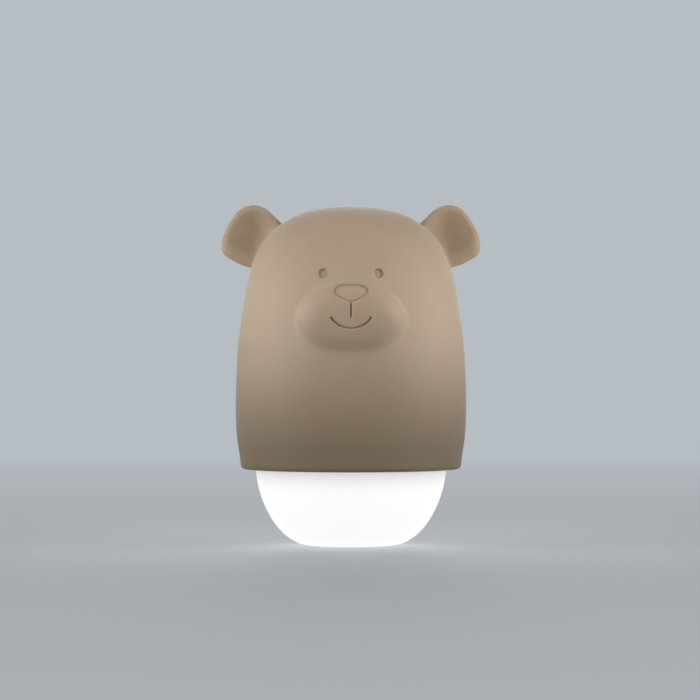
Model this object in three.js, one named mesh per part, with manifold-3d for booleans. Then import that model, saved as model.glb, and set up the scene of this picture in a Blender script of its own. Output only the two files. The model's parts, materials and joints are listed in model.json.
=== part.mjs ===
// Plug-in night light shaped as a bear: a soft cover with ears and a debossed face pulls over a plastic
// casing, a lit bowl closes the casing from below, and a two-pin plug stands out of a block on its back.
// Millimetres, +Z up. The face looks along -Y and the wall socket is behind the lamp, at +Y.
// The origin lies on the flat underside, straight below the widest section of the cover.
import * as THREE from "three";
import { mergeVertices } from "three/addons/utils/BufferGeometryUtils.js";
import Module from "manifold-3d";

const wasm = await Module();
wasm.setup();

// Clearances
const fitGap = 0.3;
const screwGap = 0.15;
const cutOverrun = 2;

// Cover: overall form
const lampHeight = 99.2;
const rimHeight = 22.3;
const coverHalfWidth = 33.7;
const coverFrontDepth = 28.6;
const coverBackDepth = 14;
const coverWall = 3;
const lipWidth = 3.9;
const lipHeight = 4.5;
const backReturnWall = 2.6;
const rimRadius = 1.2;
const rimRoundingShares = [0, 0.5, 1];
// Half width as a share of the widest, against height as a share of the way from rim to crown
const coverProfileShares = [
  [0.952, 0],
  [0.964, 0.05],
  [0.985, 0.11],
  [0.996, 0.17],
  [1, 0.241],
  [0.994, 0.355],
  [0.979, 0.47],
  [0.944, 0.583],
  [0.902, 0.697],
  [0.866, 0.755],
  [0.826, 0.803],
  [0.742, 0.872],
  [0.593, 0.932],
  [0.439, 0.969],
  [0.228, 0.993],
  [0, 1],
];
// Power of the superellipse behind the widest section: 2 is round, more is squarer
const backSquareness = 3;

// Cover: ears
const earDrop = 9.2;
const earStandOut = 4.4;
const earHalfLength = 7.9;
const earHalfBreadth = 9.1;
const earLean = THREE.MathUtils.degToRad(33);
// Along the lean and across it, from the tip round to the head and back
const earOutlineShares = [
  [1, 0.08],
  [0.97, -0.28],
  [0.87, -0.61],
  [0.6, -0.93],
  [0.13, -0.97],
  [-0.31, -0.91],
  [-0.8, -0.72],
  [-1.1, 0],
  [-0.8, 0.8],
  [-0.28, 0.95],
  [0.15, 1.01],
  [0.62, 0.89],
  [0.93, 0.56],
];
const earSetBack = 1.3;
const earFrontRise = 2.5;
const earBackRise = 6;
const earDishDepth = 3.2;
// Radius share against depth share: below zero is in front of the ear's middle, above it is behind
const earDishShares = [0.3, 0.55, 0.76];
const earRimShares = [
  [0.88, -1],
  [0.965, -0.62],
  [1, 0],
  [0.96, 0.42],
  [0.84, 0.72],
  [0.58, 0.93],
];

// Cover: snout and face
const snoutDrop = 33;
const snoutHalfWidth = 16.3;
const snoutRise = 13;
const snoutFall = 11.4;
const snoutHalfDepth = 10.3;
const snoutStandOut = 4.7;
const snoutBlend = 2;
const snoutRows = 15;
const eyeDrop = 20.4;
const eyeSpread = 7.75;
const eyeRadius = 1.35;
const eyeDepth = 0.9;
const noseTopDrop = 23.95;
const noseHeight = 4.75;
const noseHalfWidth = 4.85;
const noseDepth = 0.4;
// Half width against height, from the middle of the top round to the middle of the bottom
const noseOutlineShares = [
  [0, 0],
  [0.52, 0.015],
  [0.83, 0.1],
  [0.98, 0.27],
  [0.96, 0.44],
  [0.81, 0.62],
  [0.56, 0.8],
  [0.28, 0.95],
  [0, 1],
];
const mouthDrop = 33.2;
const mouthSag = 2.85;
const mouthHalfWidth = 5.5;
const grooveWidth = 0.6;
const grooveDepth = 0.5;
const lipLineDrop = 32.7;

// Casing
const casingWall = 2;
const casingRise = 1.6;
const splitSetBack = 2;
const ledgeWidth = 1.5;
const ledgeHeight = 1.5;

// Block on the casing's back
const blockSideWall = 3.35;
const blockRise = 6.5;
const blockTopDrop = 15.8;
const blockStandOut = 7.4;
const blockWall = 2;
const blockRadius = 6;

// Every screw's form
const screwTipShare = 0.45;
const headBrimShare = 0.6;
const headTopShare = 0.8;
const crossWidthShare = 0.28;
const crossLengthShare = 1.1;
const crossDepthShare = 0.55;

// Casing screws and the pillars that take them
const screwRadius = 1.3;
const screwHeadRadius = 2.4;
const screwHeadHeight = 1.8;
const screwLength = 10;
const pillarRadius = 3;
const screwTubeWall = 1.4;
const screwSeatWall = 1.6;
const pillarInset = 5;
const pillarTopDrop = 6.5;
const pillarStandOut = 0.4;

// Two-pin plug
const bossWidth = 35.3;
const bossFlatWidth = 26.1;
const bossThickness = 13.7;
const bossEndThickness = 4.6;
const bossLength = 17;
const flangeRim = 1.5;
const flangeTabReach = 6.75;
const flangeTabHalfWidth = 4.5;
const flangeThickness = 2.4;
const pinSpacing = 18.6;
const pinRadius = 2;
const pinLength = 19;
const pinNeckRadius = 1.3;
const pinSleeveLength = 10;
const pinSleeveRadius = 1.9;
const pinCollarRadius = 2.4;
const pinCollarHeight = 1.2;
const pinTabRadius = 1;
const pinTabLength = 2.6;
const insertScrewRadius = 1.1;
const insertScrewHeadRadius = 2.1;
const insertScrewHeadHeight = 1.4;
const insertScrewBite = 1.2;
const insertScrewInset = 2.7;
// Radius against length back from the tip
const pinTipShares = [
  [1, 0.8],
  [0.72, 0.25],
  [0, 0],
];

// Light bowl
const bowlWall = 1.8;
const bowlLedge = 1.2;
const collarWall = 1.2;
const collarHeight = 3;
const bowlOuterRowShares = [0, 0.02, 0.055, 0.11, 0.19, 0.3, 0.44, 0.6, 0.8, 1];
const bowlInnerRowShares = [0, 0.06, 0.16, 0.3, 0.5, 0.75, 1];
// Share of the bowl's half width and front depth, against the share of its height
const bowlSideShares = [
  [0.476, 0],
  [0.556, 0.034],
  [0.668, 0.112],
  [0.74, 0.19],
  [0.828, 0.325],
  [0.912, 0.52],
  [0.967, 0.715],
  [0.991, 0.88],
  [1, 1],
];
// Share of the bowl's half depth behind the widest section, against the share of its height
const bowlBackShares = [
  [0.72, 0],
  [0.84, 0.038],
  [0.93, 0.11],
  [0.98, 0.25],
  [1, 0.5],
  [1, 1],
];
const snapLength = 6;
const snapStandOut = 0.8;
const snapHeight = 1.2;
const snapRiseShare = 0.62;
const snapSpread = 11;

// Reflector tray and the light board under it
const trayThickness = 1.5;
const skirtWall = 1;
const skirtDrop = 2.2;
const trayPocketGap = 0.2;
const cableHoleWidth = 9;
const cableHoleDepth = 5;
const lightBoardSideGap = 6;
const lightBoardFrontGap = 3.2;
const lightBoardBackGap = 1.6;
const lightBoardThickness = 1.2;
const lightCount = 6;
const lightRingSideInset = 5.6;
const lightRingDepthInset = 3.9;
const lightWidth = 3.5;
const lightDepth = 2.8;
const lightHeight = 0.8;
const lightScrewInset = 3;
const lightScrewHeadHeight = 0.7;
const lightScrewBite = 1.1;

// Main board
const boardHalfWidth = 12.5;
const boardThickness = 1.6;
const boardSetBack = 5;
const boardEndGap = 0.7;
const boardPostRadius = 2.4;
const boardScrewLength = 6;
const boardScrewInset = 4;

// Parts on the main board, in rows one over another: an offset is counted sideways from its middle
const boardEdge = 1;
const filmCap = { width: 13.5, height: 9, depth: 8, offset: -2.8 };
const fuse = { radius: 1.7, length: 6.4, offset: 8.7, leadRadius: 0.35, leadSpan: 9, standOff: 1.2 };
const varistor = { radius: 3.5, depth: 3.2, offset: -5.7, standOff: 0.6 };
const bridge = { width: 6.5, height: 5, depth: 2.4, offset: -6.4 };
const chip = { width: 5, height: 4, depth: 1.6, offset: -2.4 };
const plugHeader = { width: 6, height: 5, depth: 6, offset: 5 };
// Radius against length, from the free end to the board
const drumOutlineShares = [
  [0, 0],
  [0.92, 0],
  [1, 0.04],
  [1, 0.82],
  [0.9, 0.88],
  [1, 0.94],
  [1, 1],
  [0, 1],
];
const drumCap = { radius: 3.2, length: 11, offset: 5 };

// Light sensor at the crown
const sensorSetForward = 1.5;
const sensorRadius = 1.5;
const sensorLength = 4.4;
// Radius against height down from the tip, in sensor radii
const sensorDomeShares = [
  [1, 1],
  [0.8, 0.4],
  [0, 0],
];
const sensorLeadRadius = 0.3;
const sensorLeadSpread = 0.65;
const sensorLeadDrop = 3;
const lensRadius = 1.6;
const lensFlangeRadius = 2.6;
const lensFlangeHeight = 1;
const lensFlangeGap = 0.3;
const lensSensorGap = 0.4;

// Slide switch in the block's side
const switchTravel = 2;
const knobLength = 5.4;
const knobWidth = 2.8;
const knobStandOut = 1.3;
const knobRidgeCount = 3;
const knobRidgeDepth = 0.35;
const stemLength = 2.4;
const stemWidth = 1.6;
const switchBodyLength = 9;
const switchBodyWidth = 3.8;
const switchBodyHeight = 3.5;
const switchLeverLength = 1.6;
const switchLeverWidth = 1.4;
const switchLeverHeight = 1.2;
const switchBoardThickness = 1;
const switchBoardEnd = 2.5;
const switchBoardWidth = 4.6;
const boardSlotRibWall = 1.2;

// Wires
const wireRadius = 0.6;

// Facets
const planSides = 48;
const coverFrontSides = 44;
const shellSides = 40;
const earSides = 26;
const noseSides = 22;
const rodSides = 18;
const smallRodSides = 12;
const coverRows = 22;
const cavityRows = 10;
const casingRows = 11;
const profileSamples = 200;
const searchSteps = 40;
const rowCrowding = 1.8;
const leadSides = 6;
const wireSides = 8;
const wireSteps = 9;

// Solids and geometries
function solidOf(geometry) {
  const bare = geometry.clone();
  bare.deleteAttribute("normal");
  bare.deleteAttribute("uv");
  const merged = mergeVertices(bare);
  const corners = merged.index.array;
  const kept = [];
  for (let i = 0; i < corners.length; i += 3) {
    const [a, b, c] = corners.subarray(i, i + 3);
    if (a !== b && b !== c && c !== a) kept.push(a, b, c);
  }
  return new wasm.Manifold(
    new wasm.Mesh({
      numProp: 3,
      vertProperties: merged.attributes.position.array,
      triVerts: new Uint32Array(kept),
    }),
  );
}

function geometryOf(solid) {
  const mesh = solid.getMesh();
  const geometry = new THREE.BufferGeometry();
  geometry.setAttribute("position", new THREE.BufferAttribute(new Float32Array(mesh.vertProperties), 3));
  geometry.setIndex(new THREE.BufferAttribute(new Uint32Array(mesh.triVerts), 1));
  geometry.computeVertexNormals();
  return geometry;
}

// A closed solid through rings of equal counts, fanned shut over both ends
function loft(rings, apex) {
  const count = rings[0].length;
  const points = rings.flat();
  const middle = (ring) => ring.reduce((sum, p) => sum.add(p), new THREE.Vector3()).divideScalar(count);
  points.push(middle(rings[0]), apex ?? middle(rings.at(-1)));
  const lowCentre = points.length - 2;
  const highCentre = points.length - 1;
  const lastRing = (rings.length - 1) * count;
  const faces = [];
  for (let i = 0; i < count; i++) {
    const next = (i + 1) % count;
    faces.push(lowCentre, next, i, highCentre, lastRing + i, lastRing + next);
    for (let row = 0; row + 1 < rings.length; row++) {
      const low = row * count;
      const high = low + count;
      faces.push(low + i, low + next, high + next, low + i, high + next, high + i);
    }
  }
  const geometry = new THREE.BufferGeometry().setFromPoints(points);
  geometry.setIndex(faces);
  return solidOf(geometry);
}

function box(sizeX, sizeY, sizeZ, x, y, z) {
  return solidOf(new THREE.BoxGeometry(sizeX, sizeY, sizeZ).translate(x, y, z));
}

// A round bar along Y between two depths
function barY(radius, from, to, x, z, sides = rodSides) {
  const length = to - from;
  const bar = new THREE.CylinderGeometry(radius, radius, length, sides);
  return solidOf(bar.translate(x, from + length / 2, z));
}

// A round bar along Z between two heights
function barZ(radius, from, to, x, y, sides = rodSides) {
  const length = to - from;
  const bar = new THREE.CylinderGeometry(radius, radius, length, sides).rotateX(Math.PI / 2);
  return solidOf(bar.translate(x, y, from + length / 2));
}

// A flat outline, drawn in X and Z, pushed along Y between two depths
function prismY(shape, from, to, curveSegments = 6) {
  const depth = to - from;
  const pushed = new THREE.ExtrudeGeometry(shape, { depth, bevelEnabled: false, curveSegments });
  return solidOf(pushed.rotateX(Math.PI / 2).translate(0, to, 0));
}

// A solid turned about Y from (radius, depth) points that start and end on the axis
function turnedY(points, sides = rodSides) {
  const profile = points.map(([radius, depth]) => new THREE.Vector2(radius, depth));
  return solidOf(new THREE.LatheGeometry(profile, sides));
}

function roundedBoxShape(halfWidth, low, high, radius) {
  const shape = new THREE.Shape();
  shape.moveTo(halfWidth, low + radius);
  shape.absarc(halfWidth - radius, high - radius, radius, 0, Math.PI / 2);
  shape.absarc(radius - halfWidth, high - radius, radius, Math.PI / 2, Math.PI);
  shape.absarc(radius - halfWidth, low + radius, radius, Math.PI, 1.5 * Math.PI);
  shape.absarc(halfWidth - radius, low + radius, radius, 1.5 * Math.PI, 2 * Math.PI);
  return shape;
}

// One level ring: an ellipse in front of the widest section, a superellipse behind it
function planRing({ halfWidth, front, back }, height, sides = shellSides, frontSides = sides / 2) {
  const backSides = sides / 2;
  return Array.from({ length: backSides + frontSides }, (_, i) => {
    const turn = Math.PI * (i < backSides ? i / backSides : 1 + (i - backSides) / frontSides);
    const across = Math.cos(turn);
    const along = Math.sin(turn);
    const power = along > 0 ? 2 / backSquareness : 1;
    return new THREE.Vector3(
      halfWidth * Math.sign(across) * Math.abs(across) ** power,
      (along > 0 ? back : front) * Math.sign(along) * Math.abs(along) ** power,
      height,
    );
  });
}

function prism(row, from, to, sides = shellSides) {
  return loft([planRing(row, from, sides), planRing(row, to, sides)]);
}

const inset = ({ halfWidth, front, back }, by) => ({
  halfWidth: halfWidth - by,
  front: front - by,
  back: back - by,
});

// Evenly spread points of a smooth closed outline through given corners
function closedSpline(corners, count) {
  const curve = new THREE.CatmullRomCurve3(corners.map(([x, y]) => new THREE.Vector3(x, y, 0)), true);
  return curve.getPoints(count).slice(1).map((p) => new THREE.Vector2(p.x, p.y));
}

// Reads a width share at a height share off a smooth curve through a table
function shareReader(shares) {
  const points = shares.map(([width, height]) => new THREE.Vector3(width, height, 0));
  const samples = new THREE.CatmullRomCurve3(points).getPoints(profileSamples);
  return (height) => {
    const next = samples.findIndex((p) => p.y >= height);
    if (next < 0) return samples.at(-1).x;
    if (next === 0) return samples[0].x;
    const [a, b] = [samples[next - 1], samples[next]];
    return a.x + ((b.x - a.x) * (height - a.y)) / (b.y - a.y);
  };
}

const coverShareAt = shareReader(coverProfileShares);
const bowlSideShareAt = shareReader(bowlSideShares);
const bowlBackShareAt = shareReader(bowlBackShares);

// The cover's outer form taken in by some depth: its ring at a height
function domeRow(height, depth) {
  const share = coverShareAt((height - rimHeight) / (lampHeight - depth - rimHeight));
  return {
    halfWidth: (coverHalfWidth - depth) * share,
    front: (coverFrontDepth - depth) * share,
    back: (coverBackDepth - depth) * share,
  };
}

// Heights from bottom to just under the top, closer together towards the top
function risingHeights(bottom, top, count) {
  return Array.from({ length: count }, (_, i) => top - (top - bottom) * (1 - i / count) ** rowCrowding);
}

function domeSolid(bottom, depth, rows, sides, limit) {
  const top = lampHeight - depth;
  const rings = risingHeights(bottom, top, rows).map((height) => {
    const row = domeRow(height, depth);
    const kept = limit
      ? {
          halfWidth: Math.min(row.halfWidth, limit.halfWidth),
          front: Math.min(row.front, limit.front),
          back: Math.min(row.back, limit.back),
        }
      : row;
    return planRing(kept, height, sides);
  });
  return loft(rings, new THREE.Vector3(0, 0, top));
}

// Places that several pieces share
const rimRow = domeRow(rimHeight, 0);
const casingRow = {
  halfWidth: rimRow.halfWidth - lipWidth - fitGap,
  front: rimRow.front - lipWidth - fitGap,
  back: rimRow.back - backReturnWall - fitGap,
};
const casingInnerRow = inset(casingRow, casingWall);
const casingBottom = rimHeight + casingRise;
const bowlTop = casingBottom - fitGap;
const collarTop = bowlTop + collarHeight;
const trayBottom = collarTop + trayPocketGap;
const trayTop = trayBottom + trayThickness;
const ledgeBottom = trayTop + fitGap;
const ledgeTop = ledgeBottom + ledgeHeight;
const casingDepth = coverWall + fitGap;
const blockBottom = casingBottom + blockRise;
const blockTop = lampHeight - blockTopDrop;
const blockMiddle = (blockBottom + blockTop) / 2;
const blockHalfWidth = bossWidth / 2 + blockSideWall;
const blockBack = coverBackDepth + blockStandOut;
const blockInside = blockBack - blockWall;
const screwTubeRadius = screwHeadRadius + screwGap + screwTubeWall;
const pillarSpread = blockHalfWidth - pillarInset;
const pillarHeights = [blockBottom + pillarInset, blockTop - pillarTopDrop];
const pillarPlaces = pillarHeights.flatMap((z) => [-pillarSpread, pillarSpread].map((x) => [x, z]));
const plugFace = blockBack + bossLength;
const boardBack = boardSetBack + boardThickness;
const pillarReach = boardBack + pillarStandOut;
const boardBottom = blockBottom + blockWall + boardEndGap;
const boardTop = blockTop - blockWall - boardEndGap;
const boardScrewPlaces = [
  [boardScrewInset - boardHalfWidth, boardBottom + boardScrewInset],
  [boardHalfWidth - boardScrewInset, boardTop - boardScrewInset],
];
const trayRow = inset(casingInnerRow, fitGap);
const skirtRow = inset(trayRow, collarWall + fitGap);
const skirtInnerRow = inset(skirtRow, skirtWall);
const lightBoardFront = skirtInnerRow.front - lightBoardFrontGap;
const lightBoardBack = skirtInnerRow.back - lightBoardBackGap;
const lightBoardHalfWidth = skirtInnerRow.halfWidth - lightBoardSideGap;
const lightBoardHalfDepth = (lightBoardFront + lightBoardBack) / 2;
const lightBoardSetForward = (lightBoardFront - lightBoardBack) / 2;
const lightRingHalfWidth = lightBoardHalfWidth - lightRingSideInset;
const lightRingHalfDepth = lightBoardHalfDepth - lightRingDepthInset;
const lightScrewSpread = lightBoardHalfWidth - lightScrewInset;
const lightBoardTop = trayBottom - fitGap;
const lightBoardBottom = lightBoardTop - lightBoardThickness;

// The height of a dome's surface over a point of its middle line in front of the crown
function domeHeightAt(setForward, depth) {
  let low = rimHeight;
  let high = lampHeight - depth;
  for (let i = 0; i < searchSteps; i++) {
    const middle = (low + high) / 2;
    if (domeRow(middle, depth).front > setForward) low = middle;
    else high = middle;
  }
  return low;
}

// The hole through cover and casing that the sensor's lens stands in
function lensHole(gap) {
  const top = lampHeight + cutOverrun;
  return barZ(lensRadius + gap, lampHeight / 2, top, 0, -sensorSetForward, smallRodSides);
}

// Bear cover
function earSolid(side) {
  const height = lampHeight - earDrop;
  const out = side * (domeRow(height, 0).halfWidth + earStandOut);
  const corners = earOutlineShares.map(([u, v]) => [u * earHalfLength, v * earHalfBreadth]);
  const outline = closedSpline(corners.reverse(), earSides);
  const turned = outline.map((p) => p.rotateAround(new THREE.Vector2(), earLean));
  const ring = (radiusShare, depth) =>
    turned.map((p) => new THREE.Vector3(radiusShare * p.x, radiusShare * p.y, -depth));
  const dish = earDishShares.map((share) => {
    const floor = (share / earRimShares[0][0]) ** 2;
    return ring(share, -earFrontRise + earDishDepth * (1 - floor));
  });
  const rim = earRimShares.map(([share, depth]) => {
    const reach = depth < 0 ? earFrontRise : earBackRise;
    return ring(share, depth * reach);
  });
  const rings = [...dish, ...rim].reverse();
  const made = geometryOf(loft(rings)).rotateX(Math.PI / 2);
  if (side < 0) made.scale(-1, 1, 1).index.array.reverse();
  return solidOf(made.translate(out, earSetBack, height));
}

// A point of the cover's form, moved out in front to a ball that joins it softly
function withSnout(point) {
  const middle = lampHeight - snoutDrop;
  const up = (point.z - middle) / (point.z > middle ? snoutRise : snoutFall);
  const left = 1 - (point.x / snoutHalfWidth) ** 2 - up ** 2;
  if (point.y > 0 || left < 0) return point;
  const centre = snoutHalfDepth - snoutStandOut - domeRow(middle, 0).front;
  const ball = centre - snoutHalfDepth * Math.sqrt(left);
  const near = Math.max(1 - Math.abs(ball - point.y) / snoutBlend, 0);
  point.y = Math.min(ball, point.y) - (near ** 3 * snoutBlend) / 6;
  return point;
}

// The heights of the cover's rings, evenly close together over the snout
function coverHeights() {
  const low = lampHeight - snoutDrop - snoutFall;
  const high = lampHeight - snoutDrop + snoutRise;
  const apart = (high - low) / snoutRows;
  const others = risingHeights(rimHeight + rimRadius, lampHeight, coverRows).slice(1);
  const kept = others.filter((height) => height < low - apart / 2 || height > high + apart);
  const over = Array.from({ length: snoutRows + 1 }, (_, i) => low + i * apart);
  return [...kept, ...over].sort((a, b) => a - b);
}

function noseShape() {
  const top = lampHeight - noseTopDrop;
  const right = noseOutlineShares.map(([x, z]) => [x * noseHalfWidth, top - z * noseHeight]);
  const left = right.slice(1, -1).reverse();
  const outline = [...right, ...left.map(([x, z]) => [-x, z])];
  return new THREE.Shape(closedSpline(outline, noseSides).reverse());
}

// The smile: a strip along an arc through both mouth corners and the lowest point
function mouthShape() {
  const ends = lampHeight - mouthDrop;
  const radius = (mouthHalfWidth ** 2 + mouthSag ** 2) / (2 * mouthSag);
  const centre = ends - mouthSag + radius;
  const half = Math.asin(mouthHalfWidth / radius);
  const [from, to] = [1.5 * Math.PI - half, 1.5 * Math.PI + half];
  const shape = new THREE.Shape();
  shape.absarc(0, centre, radius + grooveWidth / 2, from, to, false);
  shape.absarc(0, centre, radius - grooveWidth / 2, to, from, true);
  return shape;
}

function bearCover() {
  const ring = (row, height) => planRing(row, height, planSides, coverFrontSides).map(withSnout);
  const rounding = rimRoundingShares.map((share) => {
    const height = rimHeight + rimRadius * (1 - Math.cos((share * Math.PI) / 2));
    const taken = rimRadius * (1 - Math.sin((share * Math.PI) / 2));
    return ring(inset(domeRow(height, 0), taken), height);
  });
  const rings = coverHeights().map((height) => ring(domeRow(height, 0), height));
  const body = loft([...rounding, ...rings], new THREE.Vector3(0, 0, lampHeight));
  const outer = body.add(earSolid(1)).add(earSolid(-1));

  // The face is pressed in to an even depth: each column cuts down to a copy of the surface set back by it
  const press = (column, depth) => column.subtract(outer.translate(0, depth, 0));
  const front = -2 * coverFrontDepth;
  const nose = prismY(noseShape(), front, 0);
  const mouth = prismY(mouthShape(), front, 0, 10);
  const noseBottom = lampHeight - noseTopDrop - noseHeight;
  const lineBottom = lampHeight - lipLineDrop;
  const lineHeight = noseBottom + grooveWidth - lineBottom;
  const line = box(grooveWidth, -front, lineHeight, 0, front / 2, lineBottom + lineHeight / 2);
  let pressed = press(nose, noseDepth);
  pressed = pressed.add(press(mouth.add(line), grooveDepth));
  for (const x of [-eyeSpread, eyeSpread]) {
    const eye = barY(eyeRadius, front, 0, x, lampHeight - eyeDrop, rodSides);
    pressed = pressed.add(press(eye, eyeDepth));
  }

  const lipHole = inset(casingRow, -fitGap);
  const lipTop = rimHeight + lipHeight;
  const cavity = domeSolid(lipTop, coverWall, cavityRows, shellSides).add(
    prism(lipHole, rimHeight - cutOverrun, lipTop + cutOverrun),
  );
  const slotShape = roundedBoxShape(
    blockHalfWidth + fitGap,
    rimHeight - blockRadius - cutOverrun,
    blockTop + fitGap,
    blockRadius + fitGap,
  );
  const backSlot = prismY(slotShape, casingRow.back / 2, coverBackDepth + cutOverrun);
  return outer.subtract(pressed).subtract(cavity).subtract(backSlot).subtract(lensHole(fitGap));
}

// Casing
const casingOuter = domeSolid(casingBottom, casingDepth, casingRows, shellSides, casingRow);
const casingInner = domeSolid(
  casingBottom - cutOverrun,
  casingDepth + casingWall,
  casingRows,
  shellSides,
  casingInnerRow,
);
const wideSpan = 4 * coverHalfWidth;

function halfSpace(front) {
  const y = front ? splitSetBack - wideSpan / 2 : splitSetBack + fitGap / 2 + wideSpan / 2;
  return box(wideSpan, wideSpan, wideSpan, 0, y, lampHeight / 2);
}

function ledgeRing() {
  const outer = prism(inset(casingInnerRow, -casingWall / 2), ledgeBottom, ledgeTop);
  const hole = prism(inset(casingInnerRow, ledgeWidth), ledgeBottom - cutOverrun, ledgeTop + cutOverrun);
  return outer.subtract(hole);
}

// The bowl's snap lugs, one in front and two behind; grown by a gap they are the casing's pockets for them
function snapBoxes(gap) {
  const sizes = [snapLength + 2 * gap, 2 * (snapStandOut + gap), snapHeight + 2 * gap];
  const z = bowlTop + collarHeight * snapRiseShare;
  return [
    box(...sizes, 0, fitGap - casingInnerRow.front, z),
    box(...sizes, -snapSpread, casingInnerRow.back - fitGap, z),
    box(...sizes, snapSpread, casingInnerRow.back - fitGap, z),
  ];
}

function frontHousing() {
  let made = casingOuter.subtract(casingInner).add(ledgeRing());
  for (const [x, z] of pillarPlaces) {
    const pillar = barY(pillarRadius, -coverFrontDepth, splitSetBack, x, z, smallRodSides);
    made = made.add(pillar.intersect(casingOuter));
  }
  made = made.intersect(halfSpace(true));
  for (const [x, z] of pillarPlaces) {
    made = made.add(barY(pillarRadius, 0, pillarReach, x, z, smallRodSides));
    const holeEnd = pillarReach + screwSeatWall - screwLength - screwHeadHeight;
    const holeStart = pillarReach + cutOverrun;
    made = made.subtract(barY(screwRadius + screwGap, holeEnd, holeStart, x, z, smallRodSides));
  }
  for (const pocket of snapBoxes(fitGap)) made = made.subtract(pocket);
  return made.subtract(lensHole(screwGap));
}

const screwSeat = pillarReach + fitGap + screwSeatWall;
const knobSetBack = coverBackDepth + fitGap + knobWidth / 2;
const switchBoardLength = switchBodyLength + 2 * switchBoardEnd;

function rearHousing() {
  const rim = casingOuter.subtract(casingInner).add(ledgeRing());
  const blockOuter = prismY(
    roundedBoxShape(blockHalfWidth, blockBottom, blockTop, blockRadius),
    splitSetBack + fitGap / 2,
    blockBack,
  );
  const blockHollow = prismY(
    roundedBoxShape(
      blockHalfWidth - blockWall,
      blockBottom + blockWall,
      blockTop - blockWall,
      blockRadius - blockWall,
    ),
    splitSetBack - cutOverrun,
    blockInside,
  );
  let made = rim.intersect(halfSpace(false)).add(blockOuter.subtract(casingInner)).subtract(blockHollow);
  for (const [x, z] of pillarPlaces) {
    const tube = barY(screwTubeRadius, pillarReach + fitGap, blockBack, x, z);
    made = made.add(tube);
  }
  for (const [x, z] of boardScrewPlaces) {
    const postRoot = blockInside + blockWall / 2;
    made = made.add(barY(boardPostRadius, boardBack + fitGap, postRoot, x, z, smallRodSides));
    const holeEnd = boardSetBack + boardScrewLength + fitGap;
    made = made.subtract(barY(insertScrewRadius + screwGap, boardBack, holeEnd, x, z, smallRodSides));
  }
  for (const [x, z] of pillarPlaces) {
    made = made.subtract(barY(screwHeadRadius + screwGap, screwSeat, blockBack + cutOverrun, x, z));
    made = made.subtract(barY(screwRadius + screwGap, 0, screwSeat + cutOverrun, x, z, smallRodSides));
  }
  made = made.subtract(prismY(bossShape(fitGap), blockInside - cutOverrun, blockBack + cutOverrun));
  for (const z of insertScrewHeights) {
    const mouth = blockInside - cutOverrun;
    const end = blockInside + insertScrewBite + fitGap;
    made = made.subtract(barY(insertScrewRadius + screwGap, mouth, end, 0, z, smallRodSides));
  }
  made = made.add(switchRibs());
  const slotLength = stemLength + 2 * (switchTravel + fitGap);
  const slotWidth = stemWidth + 2 * fitGap;
  made = made.subtract(
    box(2 * blockWall + cutOverrun, slotWidth, slotLength, blockHalfWidth, knobSetBack, blockMiddle),
  );
  for (const pocket of snapBoxes(fitGap)) made = made.subtract(pocket);
  return made;
}

// Light bowl
function bowlRow(height, taken) {
  const share = height / bowlTop;
  return {
    halfWidth: casingRow.halfWidth * bowlSideShareAt(share) - taken,
    front: casingRow.front * bowlSideShareAt(share) - taken,
    back: casingRow.back * bowlBackShareAt(share) - taken,
  };
}

function diffuser() {
  const outerHeights = bowlOuterRowShares.map((share) => share * bowlTop);
  const outer = loft(outerHeights.map((height) => planRing(bowlRow(height, 0), height, planSides)));
  const innerTop = bowlTop - bowlLedge;
  const innerRows = bowlInnerRowShares.map((share) => {
    const height = bowlWall + share * (innerTop - bowlWall);
    return planRing(bowlRow(height * (innerTop / (innerTop + bowlWall)), bowlWall), height, planSides);
  });
  const mouthRow = inset(trayRow, collarWall);
  const collar = prism(trayRow, innerTop, collarTop, planSides);
  let made = outer.add(collar);
  for (const lug of snapBoxes(0)) made = made.add(lug);
  made = made.subtract(loft(innerRows));
  return made.subtract(prism(mouthRow, innerTop - cutOverrun / 2, collarTop + cutOverrun, planSides));
}

// Reflector tray
function lightBoardRing(gap, height) {
  return Array.from({ length: shellSides }, (_, i) => {
    const turn = (2 * Math.PI * i) / shellSides;
    return new THREE.Vector3(
      (lightBoardHalfWidth + gap) * Math.cos(turn),
      (lightBoardHalfDepth + gap) * Math.sin(turn) - lightBoardSetForward,
      height,
    );
  });
}

const lightScrewPlaces = [-lightScrewSpread, lightScrewSpread];

function reflectorTray() {
  const plate = prism(trayRow, trayBottom, trayTop);
  const skirt = prism(skirtRow, trayBottom - skirtDrop, trayBottom + trayThickness / 2).subtract(
    prism(skirtInnerRow, trayBottom - skirtDrop - cutOverrun, trayBottom),
  );
  let made = plate.add(skirt);
  made = made.subtract(
    box(cableHoleWidth, cableHoleDepth, trayThickness * 3, 0, cableHoleSetBack, trayTop),
  );
  for (const x of lightScrewPlaces) {
    const radius = screwSmall.radius + screwGap;
    const mouth = trayBottom - cutOverrun;
    const end = trayBottom + lightScrewBite + screwGap;
    made = made.subtract(barZ(radius, mouth, end, x, -lightBoardSetForward, smallRodSides));
  }
  return made;
}

const cableHoleSetBack = cableHoleDepth / 2 - lightBoardSetForward + lightRingHalfDepth;

function lightBoard() {
  const made = loft([lightBoardRing(0, lightBoardBottom), lightBoardRing(0, lightBoardTop)]);
  return lightScrewPlaces.reduce((solid, x) => {
    const hole = barZ(screwSmall.radius + screwGap, 0, lampHeight, x, -lightBoardSetForward, smallRodSides);
    return solid.subtract(hole);
  }, made);
}

// Screws: a turned body along Y with its tip at low depth and a cross cut into the head
const screwSmall = {
  radius: insertScrewRadius,
  headRadius: insertScrewHeadRadius,
  headHeight: insertScrewHeadHeight,
};

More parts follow.
